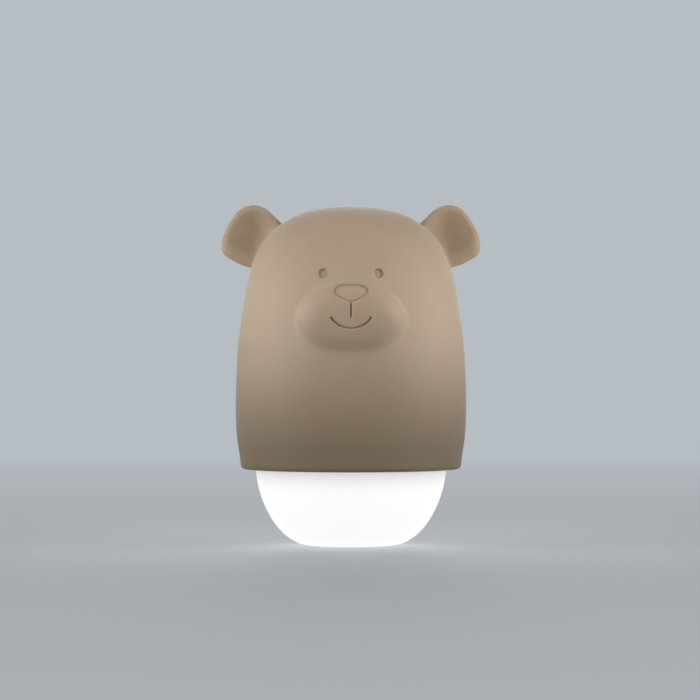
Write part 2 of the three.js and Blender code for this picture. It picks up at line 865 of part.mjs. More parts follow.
function screw(radius, headRadius, headHeight, length, sides = smallRodSides) {
  const body = turnedY(
    [
      [0, -length],
      [radius * screwTipShare, -length],
      [radius, radius - length],
      [radius, 0],
      [headRadius, 0],
      [headRadius, headHeight * headBrimShare],
      [headRadius * headTopShare, headHeight],
      [0, headHeight],
    ],
    sides,
  );
  const slotWidth = headRadius * crossWidthShare;
  const slotLength = headRadius * crossLengthShare;
  const slotDepth = headHeight * crossDepthShare;
  const arm = (x, z) => box(x, slotDepth * 2, z, 0, headHeight, 0);
  return body.subtract(arm(slotWidth, slotLength)).subtract(arm(slotLength, slotWidth));
}

// Plug
function bossShape(gap) {
  const wide = bossWidth / 2 + gap;
  const flat = bossFlatWidth / 2 + gap / 2;
  const high = bossThickness / 2 + gap;
  const end = bossEndThickness / 2 + gap / 2;
  const outline = [
    [flat, -high],
    [wide, -end],
    [wide, end],
    [flat, high],
    [-flat, high],
    [-wide, end],
    [-wide, -end],
    [-flat, -high],
  ];
  return new THREE.Shape(outline.map(([x, z]) => new THREE.Vector2(x, blockMiddle + z)));
}

const flangeTabHalfHeight = bossThickness / 2 + flangeTabReach;
const insertScrewSpread = flangeTabHalfHeight - insertScrewInset;
const insertScrewHeights = [blockMiddle - insertScrewSpread, blockMiddle + insertScrewSpread];
const flangeHalfWidth = pillarSpread - screwTubeRadius - fitGap;
const flangeBack = blockInside - fitGap;
const flangeFront = flangeBack - flangeThickness;
const pinPlaces = { left: -pinSpacing / 2, right: pinSpacing / 2 };

function plugInsert() {
  const depth = flangeFront + flangeThickness / 2;
  const plateHeight = bossThickness + 2 * flangeRim;
  const tabsHeight = 2 * flangeTabHalfHeight;
  const plate = box(2 * flangeHalfWidth, flangeThickness, plateHeight, 0, depth, blockMiddle);
  const tabs = box(2 * flangeTabHalfWidth, flangeThickness, tabsHeight, 0, depth, blockMiddle);
  let made = prismY(bossShape(0), flangeBack - fitGap, plugFace).add(plate).add(tabs);
  for (const x of Object.values(pinPlaces)) {
    made = made.subtract(barY(pinRadius + screwGap, 0, plugFace + cutOverrun, x, blockMiddle));
  }
  for (const z of insertScrewHeights) {
    made = made.subtract(barY(insertScrewRadius + screwGap, 0, plugFace, 0, z, smallRodSides));
  }
  return made;
}

// Pin depths are counted from the plug's face
function plugPin() {
  const collarBack = flangeFront - screwGap - plugFace;
  const collarFront = collarBack - pinCollarHeight;
  return turnedY([
    [0, collarFront - pinTabLength],
    [pinTabRadius, collarFront - pinTabLength],
    [pinTabRadius, collarFront],
    [pinCollarRadius, collarFront],
    [pinCollarRadius, collarBack],
    [pinRadius, collarBack],
    [pinRadius, -screwGap],
    [pinNeckRadius, -screwGap],
    [pinNeckRadius, pinSleeveLength],
    [pinRadius, pinSleeveLength],
    ...pinTipShares.map(([out, back]) => [out * pinRadius, pinLength - back * pinRadius]),
  ]);
}

function pinSleeve() {
  const bore = pinNeckRadius + screwGap;
  const profile = [
    [bore, screwGap],
    [pinSleeveRadius, screwGap],
    [pinSleeveRadius, pinSleeveLength - screwGap],
    [bore, pinSleeveLength - screwGap],
    [bore, screwGap],
  ];
  return turnedY(profile);
}

// Slide switch
const switchBodyOut = blockHalfWidth - blockWall - fitGap;
const switchBoardOut = switchBodyOut - switchBodyHeight - screwGap;
const stemIn = switchBodyOut + screwGap;

function switchKnob() {
  const capBottom = blockHalfWidth + fitGap;
  const capTop = blockHalfWidth + knobStandOut;
  const stemOut = capBottom + fitGap;
  const barX = (from, to, width, length) =>
    box(to - from, width, length, (from + to) / 2, knobSetBack, blockMiddle);
  const cap = barX(capBottom, capTop, knobWidth, knobLength);
  const stem = barX(stemIn, stemOut, stemWidth, stemLength);
  let made = cap.add(stem);
  const pitch = knobLength / (knobRidgeCount + 1);
  for (let i = 1; i <= knobRidgeCount; i++) {
    const z = blockMiddle - knobLength / 2 + i * pitch;
    const groove = box(2 * knobRidgeDepth, knobWidth + cutOverrun, pitch / 3, capTop, knobSetBack, z);
    made = made.subtract(groove);
  }
  return made;
}

function switchBody() {
  const can = box(
    switchBodyHeight,
    switchBodyWidth,
    switchBodyLength,
    switchBodyOut - switchBodyHeight / 2,
    knobSetBack,
    blockMiddle,
  );
  const slotLength = switchLeverLength + 2 * (switchTravel + fitGap);
  const slotWidth = switchLeverWidth + 2 * fitGap;
  return can.subtract(
    box(2 * (switchLeverHeight + fitGap), slotWidth, slotLength, switchBodyOut, knobSetBack, blockMiddle),
  );
}

function switchLever() {
  const outer = stemIn - screwGap;
  return box(
    switchLeverHeight,
    switchLeverWidth,
    switchLeverLength,
    outer - switchLeverHeight / 2,
    knobSetBack,
    blockMiddle,
  );
}

function switchBoard() {
  return box(
    switchBoardThickness,
    switchBoardWidth,
    switchBoardLength,
    switchBoardOut - switchBoardThickness / 2,
    knobSetBack,
    blockMiddle,
  );
}

// Ribs on the block's inside that hold the switch's board by its two ends
function switchRibs() {
  const reach = switchBoardOut - switchBoardThickness - boardSlotRibWall;
  const out = blockHalfWidth - blockWall / 2;
  const depth = blockInside - knobSetBack + switchBoardWidth / 2;
  const middle = blockInside + blockWall / 2 - depth / 2;
  const ends = [-1, 1].map((way) => {
    const z = blockMiddle + way * (switchBoardLength / 2 + fitGap + boardSlotRibWall / 2);
    return box(out - reach, depth, boardSlotRibWall, (out + reach) / 2, middle, z);
  });
  return ends[0].add(ends[1]);
}

// Light sensor and its lens
const lensTop = domeHeightAt(sensorSetForward + lensRadius, 0);
const roofInside = domeHeightAt(sensorSetForward + lensFlangeRadius, casingDepth + casingWall);
const lensFlangeTop = roofInside - lensFlangeGap;
const lensBottom = lensFlangeTop - lensFlangeHeight;
const sensorTop = lensBottom - lensSensorGap;
const sensorBottom = sensorTop - sensorLength;

function sensorLens() {
  const flange = barZ(lensFlangeRadius, lensBottom, lensFlangeTop, 0, -sensorSetForward);
  return flange.add(barZ(lensRadius, lensBottom, lensTop, 0, -sensorSetForward));
}

function lightSensor() {
  const dome = sensorDomeShares.map(([out, down]) => [out * sensorRadius, sensorTop - down * sensorRadius]);
  const profile = [[0, sensorBottom], [sensorRadius, sensorBottom], ...dome];
  const points = profile.map(([radius, z]) => new THREE.Vector2(radius, z));
  const lathe = new THREE.LatheGeometry(points, smallRodSides);
  let made = solidOf(lathe.rotateX(Math.PI / 2).translate(0, -sensorSetForward, 0));
  const bend = boardTop - sensorLeadDrop;
  for (const x of [-sensorLeadSpread, sensorLeadSpread]) {
    made = made.add(barZ(sensorLeadRadius, bend, sensorBottom + screwGap, x, -sensorSetForward, leadSides));
    made = made.add(barY(sensorLeadRadius, -sensorSetForward, boardFront, x, bend, leadSides));
  }
  return made;
}

// Main board and what stands on it
function mainBoard() {
  const height = boardTop - boardBottom;
  const middle = boardBottom + height / 2;
  let made = box(2 * boardHalfWidth, boardThickness, height, 0, boardSetBack + boardThickness / 2, middle);
  for (const [x, z] of boardScrewPlaces) {
    made = made.subtract(barY(insertScrewRadius + screwGap, 0, blockBack, x, z, smallRodSides));
  }
  return made;
}

const boardFront = boardSetBack - screwGap;
const boardRows = [plugHeader.height, 2 * drumCap.radius, filmCap.height, 2 * varistor.radius];
const boardSpare = boardTop - boardBottom - 2 * boardEdge - boardRows.reduce((sum, height) => sum + height);
const boardRowGap = boardSpare / (boardRows.length - 1);

// The height of the middle of a row, counted from the bottom one
function boardRowHeight(row) {
  const below = boardRows.slice(0, row).reduce((sum, height) => sum + height + boardRowGap, 0);
  return boardBottom + boardEdge + below + boardRows[row] / 2;
}

function boardBox({ width, height, depth, offset }, row) {
  return box(width, depth, height, offset, boardFront - depth / 2, boardRowHeight(row));
}

function drumCapacitor() {
  const { radius, length, offset } = drumCap;
  const profile = drumOutlineShares.map(([out, along]) => [
    out * radius,
    boardFront - (1 - along) * length,
  ]);
  return turnedY(profile).translate(offset, 0, boardRowHeight(1));
}

function fuseResistor() {
  const { radius, length, offset, leadRadius, leadSpan, standOff } = fuse;
  const y = boardFront - standOff - radius;
  const z = boardRowHeight(2);
  let made = barZ(radius, z - length / 2, z + length / 2, offset, y, smallRodSides);
  made = made.add(barZ(leadRadius, z - leadSpan / 2, z + leadSpan / 2, offset, y, leadSides));
  for (const way of [-1, 1]) {
    const at = z + way * (leadSpan / 2 - leadRadius);
    made = made.add(barY(leadRadius, y, boardFront, offset, at, leadSides));
  }
  return made;
}

function varistorDisc() {
  const { radius, depth, offset, standOff } = varistor;
  const back = boardFront - standOff;
  const z = boardRowHeight(3);
  let made = barY(radius, back - depth, back, offset, z);
  for (const way of [-1, 1]) {
    const x = offset + (way * radius) / 2;
    made = made.add(barY(fuse.leadRadius, back - depth / 2, boardFront, x, z, leadSides));
  }
  return made;
}

// Wires
function wire(points) {
  const circle = new THREE.Shape(
    Array.from({ length: wireSides }, (_, i) => {
      const turn = (2 * Math.PI * i) / wireSides;
      return new THREE.Vector2(wireRadius * Math.cos(turn), wireRadius * Math.sin(turn));
    }),
  );
  const path = new THREE.CatmullRomCurve3(points.map((p) => new THREE.Vector3(...p)));
  const options = { steps: wireSteps, extrudePath: path, bevelEnabled: false };
  return solidOf(new THREE.ExtrudeGeometry(circle, options));
}

const pinTabEnd = flangeFront - screwGap - pinCollarHeight - pinTabLength;

function mainsWire(x) {
  const start = pinTabEnd - fitGap;
  const end = boardBack + fitGap;
  const middle = (start + end) / 2;
  return wire([
    [x, start, blockMiddle],
    [x, middle + wireRadius, blockMiddle + 1.5 * wireRadius],
    [x, middle, blockMiddle + 4 * wireRadius],
    [x, middle - wireRadius, blockMiddle + 6.5 * wireRadius],
    [x, end, blockMiddle + 8 * wireRadius],
  ]);
}

function lightWire(offset) {
  const x = plugHeader.offset + offset;
  const y = boardFront - plugHeader.depth / 2;
  const top = boardBottom + boardEdge - fitGap;
  const bottom = lightBoardTop + fitGap;
  const holeX = offset * 1.6;
  return wire([
    [x, y, top],
    [x, y, top - 2 * wireRadius],
    [(x + holeX) / 2, (y + cableHoleSetBack) / 2, (top + bottom) / 2],
    [holeX, cableHoleSetBack, bottom + 2 * wireRadius],
    [holeX, cableHoleSetBack, bottom],
  ]);
}

function switchWire(way) {
  const z = blockMiddle + way * (switchBoardLength / 2 - 2 * wireRadius);
  const start = switchBoardOut - switchBoardThickness - fitGap;
  const end = boardHalfWidth - 2 * wireRadius;
  const face = boardBack + fitGap;
  return wire([
    [start, knobSetBack, z],
    [start - 2 * wireRadius, knobSetBack, z],
    [(start + end) / 2, (knobSetBack + face) / 2, z + way * wireRadius],
    [end, face + 2 * wireRadius, z + 2 * way * wireRadius],
    [end, face, z + 2 * way * wireRadius],
  ]);
}

// Materials
const colours = {
  silicone: [0xbba794, 0.75, 0],
  casingWhite: [0xefefec, 0.5, 0],
  lightWhite: [0xfdfdfd, 0.4, 0],
  brass: [0xb9b6ad, 0.3, 0.9],
  steel: [0x9a9ca0, 0.35, 0.9],
  sleeveBlack: [0x26272a, 0.6, 0],
  boardGreen: [0x2f6b45, 0.6, 0],
  boardWhite: [0xe9ebe6, 0.55, 0],
  ledYellow: [0xf3dc7a, 0.4, 0],
  filmYellow: [0xd8b23c, 0.5, 0],
  drumBlack: [0x22252e, 0.4, 0],
  varistorBlue: [0x35589b, 0.5, 0],
  chipBlack: [0x1d1d1f, 0.5, 0],
  lensSmoke: [0x3a3834, 0.15, 0],
  redWire: [0xa8322b, 0.5, 0],
  blueWire: [0x2f4f93, 0.5, 0],
  brownWire: [0x5e3a24, 0.5, 0],
  greyWire: [0x8a8b8d, 0.5, 0],
};

function piece(name, solid, colour, place) {
  const [color, roughness, metalness] = colours[colour];
  const material = new THREE.MeshStandardMaterial({ color, roughness, metalness });
  const mesh = new THREE.Mesh(geometryOf(solid), material);
  mesh.name = name;
  if (place) mesh.position.set(...place);
  return mesh;
}

// Assembly
const lamp = new THREE.Group();
const body = new THREE.Group();
const cover = new THREE.Group();
const slider = new THREE.Group();
lamp.add(body, cover, slider);

cover.add(piece("bear_cover", bearCover(), "silicone"));
body.add(piece("front_housing", frontHousing(), "casingWhite"));
body.add(piece("rear_housing", rearHousing(), "casingWhite"));
body.add(piece("diffuser", diffuser(), "lightWhite"));
body.add(piece("reflector_tray", reflectorTray(), "casingWhite"));
body.add(piece("light_board", lightBoard(), "boardWhite"));

const led = box(lightWidth, lightDepth, lightHeight, 0, 0, 0);
for (let i = 0; i < lightCount; i++) {
  const turn = (2 * Math.PI * (i + 0.5)) / lightCount;
  const x = lightRingHalfWidth * Math.cos(turn);
  const y = lightRingHalfDepth * Math.sin(turn) - lightBoardSetForward;
  body.add(piece(`led_${i + 1}`, led, "ledYellow", [x, y, lightBoardBottom - screwGap - lightHeight / 2]));
}
const lightScrewLength = lightBoardThickness + fitGap + lightScrewBite + screwGap;
const lightScrew = screw(screwSmall.radius, screwSmall.headRadius, lightScrewHeadHeight, lightScrewLength);
lightScrewPlaces.forEach((x, i) => {
  const mesh = piece(`light_board_screw_${i + 1}`, lightScrew, "steel", [
    x,
    -lightBoardSetForward,
    lightBoardBottom - screwGap,
  ]);
  mesh.rotation.x = -Math.PI / 2;
  body.add(mesh);
});

const housingScrew = screw(screwRadius, screwHeadRadius, screwHeadHeight, screwLength);
pillarPlaces.forEach(([x, z], i) => {
  body.add(piece(`housing_screw_${i + 1}`, housingScrew, "steel", [x, screwSeat + screwGap, z]));
});

body.add(piece("plug_insert", plugInsert(), "casingWhite"));
for (const [side, x] of Object.entries(pinPlaces)) {
  body.add(piece(`plug_pin_${side}`, plugPin(), "brass", [x, plugFace, blockMiddle]));
  body.add(piece(`pin_sleeve_${side}`, pinSleeve(), "sleeveBlack", [x, plugFace, blockMiddle]));
}
const insertScrewLength = flangeThickness + fitGap + insertScrewBite;
const screwForm = [screwSmall.radius, screwSmall.headRadius, screwSmall.headHeight];
const insertScrew = screw(...screwForm, insertScrewLength);
insertScrewHeights.forEach((z, i) => {
  const mesh = piece(`plug_insert_screw_${i + 1}`, insertScrew, "steel", [0, flangeFront - screwGap, z]);
  mesh.rotation.z = Math.PI;
  body.add(mesh);
});

body.add(piece("main_board", mainBoard(), "boardGreen"));
const boardScrew = screw(...screwForm, boardScrewLength);
boardScrewPlaces.forEach(([x, z], i) => {
  const mesh = piece(`main_board_screw_${i + 1}`, boardScrew, "steel", [x, boardFront, z]);
  mesh.rotation.z = Math.PI;
  body.add(mesh);
});
body.add(piece("film_capacitor", boardBox(filmCap, 2), "filmYellow"));
body.add(piece("drum_capacitor", drumCapacitor(), "drumBlack"));
body.add(piece("bridge_rectifier", boardBox(bridge, 1), "chipBlack"));
body.add(piece("fuse_resistor", fuseResistor(), "greyWire"));
body.add(piece("varistor", varistorDisc(), "varistorBlue"));
body.add(piece("driver_chip", boardBox(chip, 0), "chipBlack"));
body.add(piece("light_wire_header", boardBox(plugHeader, 0), "boardWhite"));
body.add(piece("light_sensor", lightSensor(), "lensSmoke"));
body.add(piece("sensor_lens", sensorLens(), "lensSmoke"));

body.add(piece("switch_body", switchBody(), "steel"));
body.add(piece("switch_board", switchBoard(), "boardGreen"));
slider.add(piece("switch_knob", switchKnob(), "casingWhite"));
slider.add(piece("switch_lever", switchLever(), "chipBlack"));

body.add(piece("mains_wire_left", mainsWire(pinPlaces.left), "brownWire"));
body.add(piece("mains_wire_right", mainsWire(pinPlaces.right), "blueWire"));
body.add(piece("light_wire_plus", lightWire(-wireRadius * 2), "redWire"));
body.add(piece("light_wire_minus", lightWire(wireRadius * 2), "greyWire"));
body.add(piece("switch_wire_upper", switchWire(1), "redWire"));
body.add(piece("switch_wire_lower", switchWire(-1), "greyWire"));

export default lamp;
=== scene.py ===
"""Plug-in night light shaped as a bear: fine surfaces, finishes, floor, light and camera.

The fine surfaces are built from signed distance fields, in millimetres. A field is negative
inside a piece, and its zero surface is turned into a mesh of quads.
"""
import json
import math

import bmesh
import bpy
import numpy as np
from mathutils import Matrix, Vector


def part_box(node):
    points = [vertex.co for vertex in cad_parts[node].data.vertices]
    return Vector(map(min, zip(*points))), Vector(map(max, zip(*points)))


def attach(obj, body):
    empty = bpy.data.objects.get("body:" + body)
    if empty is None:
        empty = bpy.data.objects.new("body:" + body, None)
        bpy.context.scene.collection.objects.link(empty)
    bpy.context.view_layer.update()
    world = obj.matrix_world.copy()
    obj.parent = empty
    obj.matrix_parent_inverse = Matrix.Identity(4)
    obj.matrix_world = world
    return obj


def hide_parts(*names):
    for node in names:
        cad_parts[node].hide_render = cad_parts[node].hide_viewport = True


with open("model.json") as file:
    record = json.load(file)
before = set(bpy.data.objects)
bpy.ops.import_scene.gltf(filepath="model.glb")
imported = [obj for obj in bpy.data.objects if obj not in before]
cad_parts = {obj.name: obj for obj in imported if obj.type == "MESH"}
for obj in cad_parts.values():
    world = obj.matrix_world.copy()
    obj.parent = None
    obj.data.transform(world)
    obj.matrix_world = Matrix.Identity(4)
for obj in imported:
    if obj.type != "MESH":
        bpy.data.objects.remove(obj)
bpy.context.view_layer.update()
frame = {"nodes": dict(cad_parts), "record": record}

MM = 0.001

# Sizes in millimetres, the solids' own. The cover's crown and rim are heights from the floor.
# Its half width, front and back are measured from the upright axis, where it is widest.
LAMP_H = 99.2
RIM_H = 22.3
HALF_W = 33.7
FRONT = 28.6
BACK = 14.0
# Its wall, the lip that its rim turns in by and the lip's height, and the same at the back
WALL = 3.0
LIP_W = 3.9
LIP_H = 4.5
BACK_RETURN = 2.6
# Room between the cover and the casing, and the casing's wall
GAP = 0.3
CASING_WALL = 2.0

# The cover's side, upwards: (share of its half width, share of its height over the rim)
COVER_SHARES = [
    (0.952, 0), (0.964, 0.05), (0.985, 0.11), (0.996, 0.17), (1, 0.241), (0.994, 0.355),
    (0.979, 0.47), (0.944, 0.583), (0.902, 0.697), (0.866, 0.755), (0.826, 0.803),
    (0.742, 0.872), (0.593, 0.932), (0.439, 0.969), (0.228, 0.993), (0, 1),
]
# The right ear's outline round its middle: (share of its half width, share of its half height)
EAR_SHARES = [
    (1, 0.08), (0.97, -0.28), (0.87, -0.61), (0.6, -0.93), (0.13, -0.97), (-0.31, -0.91),
    (-0.8, -0.72), (-1.1, 0), (-0.8, 0.8), (-0.28, 0.95), (0.15, 1.01), (0.62, 0.89), (0.93, 0.56),
]
# The nose's right half, downwards: (share of its half width, share of its height)
NOSE_SHARES = [
    (0, 0), (0.52, 0.015), (0.83, 0.1), (0.98, 0.27), (0.96, 0.44), (0.81, 0.62), (0.56, 0.8),
    (0.28, 0.95), (0, 1),
]
# The bowl's side and back, upwards: (share of its width at the top, share of its height)
BOWL_SIDE_SHARES = [
    (0.38, 0), (0.47, 0.008), (0.556, 0.034), (0.668, 0.112), (0.74, 0.19), (0.828, 0.325),
    (0.912, 0.52), (0.967, 0.715), (0.991, 0.88), (1, 1),
]
BOWL_BACK_SHARES = [(0.72, 0), (0.84, 0.038), (0.93, 0.11), (0.98, 0.25), (1, 0.5), (1, 1)]

# Half width, front and back of the casing where it passes the cover's rim
CASING = (
    HALF_W * COVER_SHARES[0][0] - LIP_W - GAP,
    FRONT * COVER_SHARES[0][0] - LIP_W - GAP,
    BACK * COVER_SHARES[0][0] - BACK_RETURN - GAP,
)
CASING_BOTTOM = RIM_H + 1.6
BOWL_TOP = CASING_BOTTOM - GAP
SPLIT_Y = 2.0

# The plug's section, from its middle: half width, where the flat sides end, half thickness,
# and where the end faces end at the cut corners
PLUG_SECTION = (17.65, 13.05, 6.85, 2.3)
PIN_X = 9.3
PIN_R = 2.0
PIN_HOLE_R = PIN_R + 0.15

# The raised block at the back, with its four screw pillars
BLOCK_W = PLUG_SECTION[0] + 3.35
BLOCK_BOTTOM = CASING_BOTTOM + 6.5
BLOCK_TOP = LAMP_H - 15.8
BLOCK_MID = (BLOCK_BOTTOM + BLOCK_TOP) / 2
BLOCK_BACK = BACK + 7.4
BLOCK_R = 6.0
PLUG_FACE = BLOCK_BACK + 17
PILLAR_X = BLOCK_W - 5
PILLAR_Z = (BLOCK_BOTTOM + 5, BLOCK_TOP - 6.5)

# The sensor's lens under the crown, and the holes for it, which end at a height
SENSOR_Y = -1.5
LENS_R = 1.6
LENS_HOLE_BOTTOM = 60

# The switch's knob
KNOB_Y = BACK + GAP + 1.4
KNOB_OUT = BLOCK_W + 1.3
STEM_HALF = (1.35, 0.8, 1.2)
SWITCH_TRAVEL = 2.0


# Curves
def catmull(points, per_span, closed=False):
    """Points of a centripetal spline through the given ones."""
    p = np.array(points, float)
    if closed:
        p = np.vstack([p[-1], p, p[0], p[1]])
    else:
        p = np.vstack([2 * p[0] - p[1], p, 2 * p[-1] - p[-2]])
    out = []
    for a, b, c, d in zip(p, p[1:], p[2:], p[3:]):
        knots = [max(np.linalg.norm(v) ** 0.5, 1e-6) for v in (b - a, c - b, d - c)]
        t0, t1 = 0.0, knots[0]
        t2 = t1 + knots[1]
        t3 = t2 + knots[2]
        for t in np.linspace(t1, t2, per_span, endpoint=False):
            a1 = (t1 - t) / (t1 - t0) * a + (t - t0) / (t1 - t0) * b
            a2 = (t2 - t) / (t2 - t1) * b + (t - t1) / (t2 - t1) * c
            a3 = (t3 - t) / (t3 - t2) * c + (t - t2) / (t3 - t2) * d
            b1 = (t2 - t) / (t2 - t0) * a1 + (t - t0) / (t2 - t0) * a2
            b2 = (t3 - t) / (t3 - t1) * a2 + (t - t1) / (t3 - t1) * a3
            out.append((t2 - t) / (t2 - t1) * b1 + (t - t1) / (t2 - t1) * b2)
    if not closed:
        out.append(p[-2])
    return np.array(out)


def polyline_distance(px, py, line, closed=False):
    """Distance from each point to a polyline in the plane."""
    ends = np.vstack([line[1:], line[:1]]) if closed else line[1:]
    starts = line if closed else line[:-1]
    best = np.full(px.shape, 1e9)
    for (ax, ay), (bx, by) in zip(starts, ends):
        ux, uy = bx - ax, by - ay
        t = np.clip(((px - ax) * ux + (py - ay) * uy) / (ux * ux + uy * uy), 0, 1)
        best = np.minimum(best, (px - ax - t * ux) ** 2 + (py - ay - t * uy) ** 2)
    return np.sqrt(best)


def inside_polygon(px, py, ring):
    """Whether each point is inside a closed ring in the plane."""
    hit = np.zeros(px.shape, bool)
    for (ax, ay), (bx, by) in zip(ring, np.vstack([ring[1:], ring[:1]])):
        if ay == by:
            continue
        crosses = (ay > py) != (by > py)
        hit ^= crosses & (px < (bx - ax) * (py - ay) / (by - ay) + ax)
    return hit


def signed_ring(px, py, ring):
    """Distance from each point to a closed ring, negative inside it."""
    sign = np.where(inside_polygon(px, py, ring), -1, 1)
    return sign * polyline_distance(px, py, ring, closed=True)


class Plane2D:
    """A plane's field, sampled on a grid once, then read by linear interpolation."""

    def __init__(self, low, high, step, function):
        self.low, self.step = np.array(low, float), step
        xs = np.arange(low[0], high[0] + step, step)
        ys = np.arange(low[1], high[1] + step, step)
        gx, gy = np.meshgrid(xs, ys, indexing="ij")
        self.values = function(gx, gy)

    def __call__(self, x, y):
        u = np.clip((x - self.low[0]) / self.step, 0, self.values.shape[0] - 1.001)
        v = np.clip((y - self.low[1]) / self.step, 0, self.values.shape[1] - 1.001)
        i, j = u.astype(int), v.astype(int)
        u, v = u - i, v - j
        g = self.values
        low = g[i, j] * (1 - u) + g[i + 1, j] * u
        high = g[i, j + 1] * (1 - u) + g[i + 1, j + 1] * u
        return low * (1 - v) + high * v


# Fields and how they are joined
def round_and(a, b, r):
    """Where both are negative, with a rounded edge between them."""
    ua, ub = np.maximum(a + r, 0), np.maximum(b + r, 0)
    return np.minimum(-r, np.maximum(a, b)) + np.hypot(ua, ub)


def round_or(a, b, r):
    """Where either is negative, with a rounded corner between them."""
    return -round_and(-a, -b, r)


def blend(a, b, k):
    """Where either is negative, with a soft fillet about k wide between them."""
    h = np.maximum(k - np.abs(a - b), 0) / k
    return np.minimum(a, b) - h * h * h * k / 6


def smooth_step(t):
    """From 0 to 1 as t does, level at both ends."""
    t = np.clip(t, 0, 1)
    return t * t * (3 - 2 * t)


def gauss(distance, width):
    """1 at no distance, fading over about the width."""
    return np.exp(-((distance / width) ** 2))


def box_field(x, y, z, centre, half, r):
    """A box with its edges rounded by r."""
    qx, qy, qz = (np.abs(v - c) - (h - r) for v, c, h in zip((x, y, z), centre, half))
    outside = np.sqrt(np.maximum(qx, 0) ** 2 + np.maximum(qy, 0) ** 2 + np.maximum(qz, 0) ** 2)
    return outside + np.minimum(np.maximum(qx, np.maximum(qy, qz)), 0) - r


def rect_field(x, z, x0, z0, half_x, half_z, r):
    """An endless bar whose section is a rectangle with rounded corners."""
    qx, qz = np.abs(x - x0) - (half_x - r), np.abs(z - z0) - (half_z - r)
    return np.hypot(np.maximum(qx, 0), np.maximum(qz, 0)) + np.minimum(np.maximum(qx, qz), 0) - r


def plan_radius(x, y, half, front, back):
    """How far out a point is, as a share of the plan's half width."""
    fx = np.abs(x) / half
    fy = np.where(y < 0, -y / front, y / back)
    ahead = np.sqrt(fx * fx + fy * fy)
    behind = np.cbrt(fx ** 3 + np.maximum(fy, 0) ** 3)
    return np.where(y < 0, ahead, behind)


def prism_field(x, y, half, front, back):
    """An endless upright prism on the plan of the casing and the cover."""
    return (plan_radius(x, y, half, front, back) - 1) * min(half, 2 * back)


profile = catmull(COVER_SHARES, 10)


class Dome:
    """The cover's outer form taken in by some depth, with its side drawn on under the rim."""

    def __init__(self, depth):
        self.plan = (HALF_W - depth, FRONT - depth, BACK - depth)
        half, top, bottom = HALF_W - depth, LAMP_H - depth, RIM_H - 12
        line = profile * [half, top - RIM_H] + [0, RIM_H]
        line = np.vstack([[line[0][0], bottom], line])
        ring = np.vstack([line, [[-1, top], [-1, bottom]]])

        def signed(px, pz):
            distance = polyline_distance(px, pz, line)
            return np.where(inside_polygon(px, pz, ring), -distance, distance)

        self.plane = Plane2D((0, RIM_H - 8), (HALF_W + 9, LAMP_H + 9), 0.25, signed)

    def __call__(self, x, y, z):
        return self.plane(self.plan[0] * plan_radius(x, y, *self.plan), z)


outer_dome = Dome(0)
inner_dome = Dome(WALL)
casing_dome = Dome(WALL + GAP)
casing_inner_dome = Dome(WALL + GAP + CASING_WALL)


def share_at(z):
    """The cover's width share at a height."""
    t = (np.asarray(z, float) - RIM_H) / (LAMP_H - RIM_H)
    return np.interp(t, profile[:, 1], profile[:, 0])


# The ears. Each lies in a plane of its own, with u outwards, v upwards and w to the back
EAR_H = LAMP_H - 9.2
EAR_X = HALF_W * float(share_at(EAR_H)) + 4.4
EAR_Y = 1.3
EAR_LEAN = math.radians(33)
EAR_HALF_W, EAR_HALF_H = 7.9, 9.1
EAR_BACK, EAR_FRONT = 5.6, 2.4
EAR_BACK_ROUND, EAR_FRONT_ROUND = 3.6, 1.9
EAR_DISH = 3.2
EAR_DISH_REACH = 0.9
EAR_MID = np.array([-0.2, 0.6])

ear_ring = catmull([(u * EAR_HALF_W, v * EAR_HALF_H) for u, v in EAR_SHARES], 8, closed=True)
ear_plane = Plane2D((-16, -16), (16, 16), 0.2, lambda u, v: signed_ring(u, v, ear_ring))
ear_turn = np.arctan2(ear_ring[:, 1] - EAR_MID[1], ear_ring[:, 0] - EAR_MID[0])
ear_order = np.argsort(ear_turn)
ear_turn = ear_turn[ear_order]
ear_reach = np.linalg.norm(ear_ring - EAR_MID, axis=1)[ear_order]


def ear_share(u, v):
    """How far out towards the ear's outline a point is, from 0 in the middle to 1."""
    du, dv = u - EAR_MID[0], v - EAR_MID[1]
    return np.hypot(du, dv) / np.interp(np.arctan2(dv, du), ear_turn, ear_reach, period=2 * np.pi)


def ear_field(x, y, z):
    """Both ears: a rounded pad with a dish pressed into its front, shallower low down."""
    dx, dz = np.abs(x) - EAR_X, z - EAR_H
    u = dx * math.cos(EAR_LEAN) + dz * math.sin(EAR_LEAN)
    v = dz * math.cos(EAR_LEAN) - dx * math.sin(EAR_LEAN)
    w = y - EAR_Y
    edge = ear_plane(u, v)
    back = round_and(edge, w - EAR_BACK, EAR_BACK_ROUND)
    front = round_and(edge, -w - EAR_FRONT, EAR_FRONT_ROUND)
    pad = np.where(w > 0.4, back, front)
    wide_rim = 1 + 0.4 * smooth_step((0.5 - dz) / 6)
    inner = np.maximum(1 - (ear_share(u, v) * wide_rim / EAR_DISH_REACH) ** 2, 0)
    dish = EAR_DISH * inner ** 1.25 * (0.5 + 0.5 * smooth_step((dz + 4.5) / 8))
    return round_and(pad, -w - EAR_FRONT + dish - 0.05, 0.5)


# The snout, a little flatter in front than the solid's. It narrows by a share from its middle
# to its top, and leans back towards the chin
SNOUT_HALF_W, SNOUT_HALF_DEPTH = 16.05, 10.3
SNOUT_DOWN, SNOUT_UP = 11.6, 11.1
SNOUT_STANDS_OUT = 4.7
SNOUT_POWER = 3.0
SNOUT_NARROWS = 0.11
SNOUT_TILT = 0.12
SNOUT_H = LAMP_H - 33.0
SNOUT_Y = SNOUT_HALF_DEPTH - SNOUT_STANDS_OUT - FRONT * float(share_at(SNOUT_H))


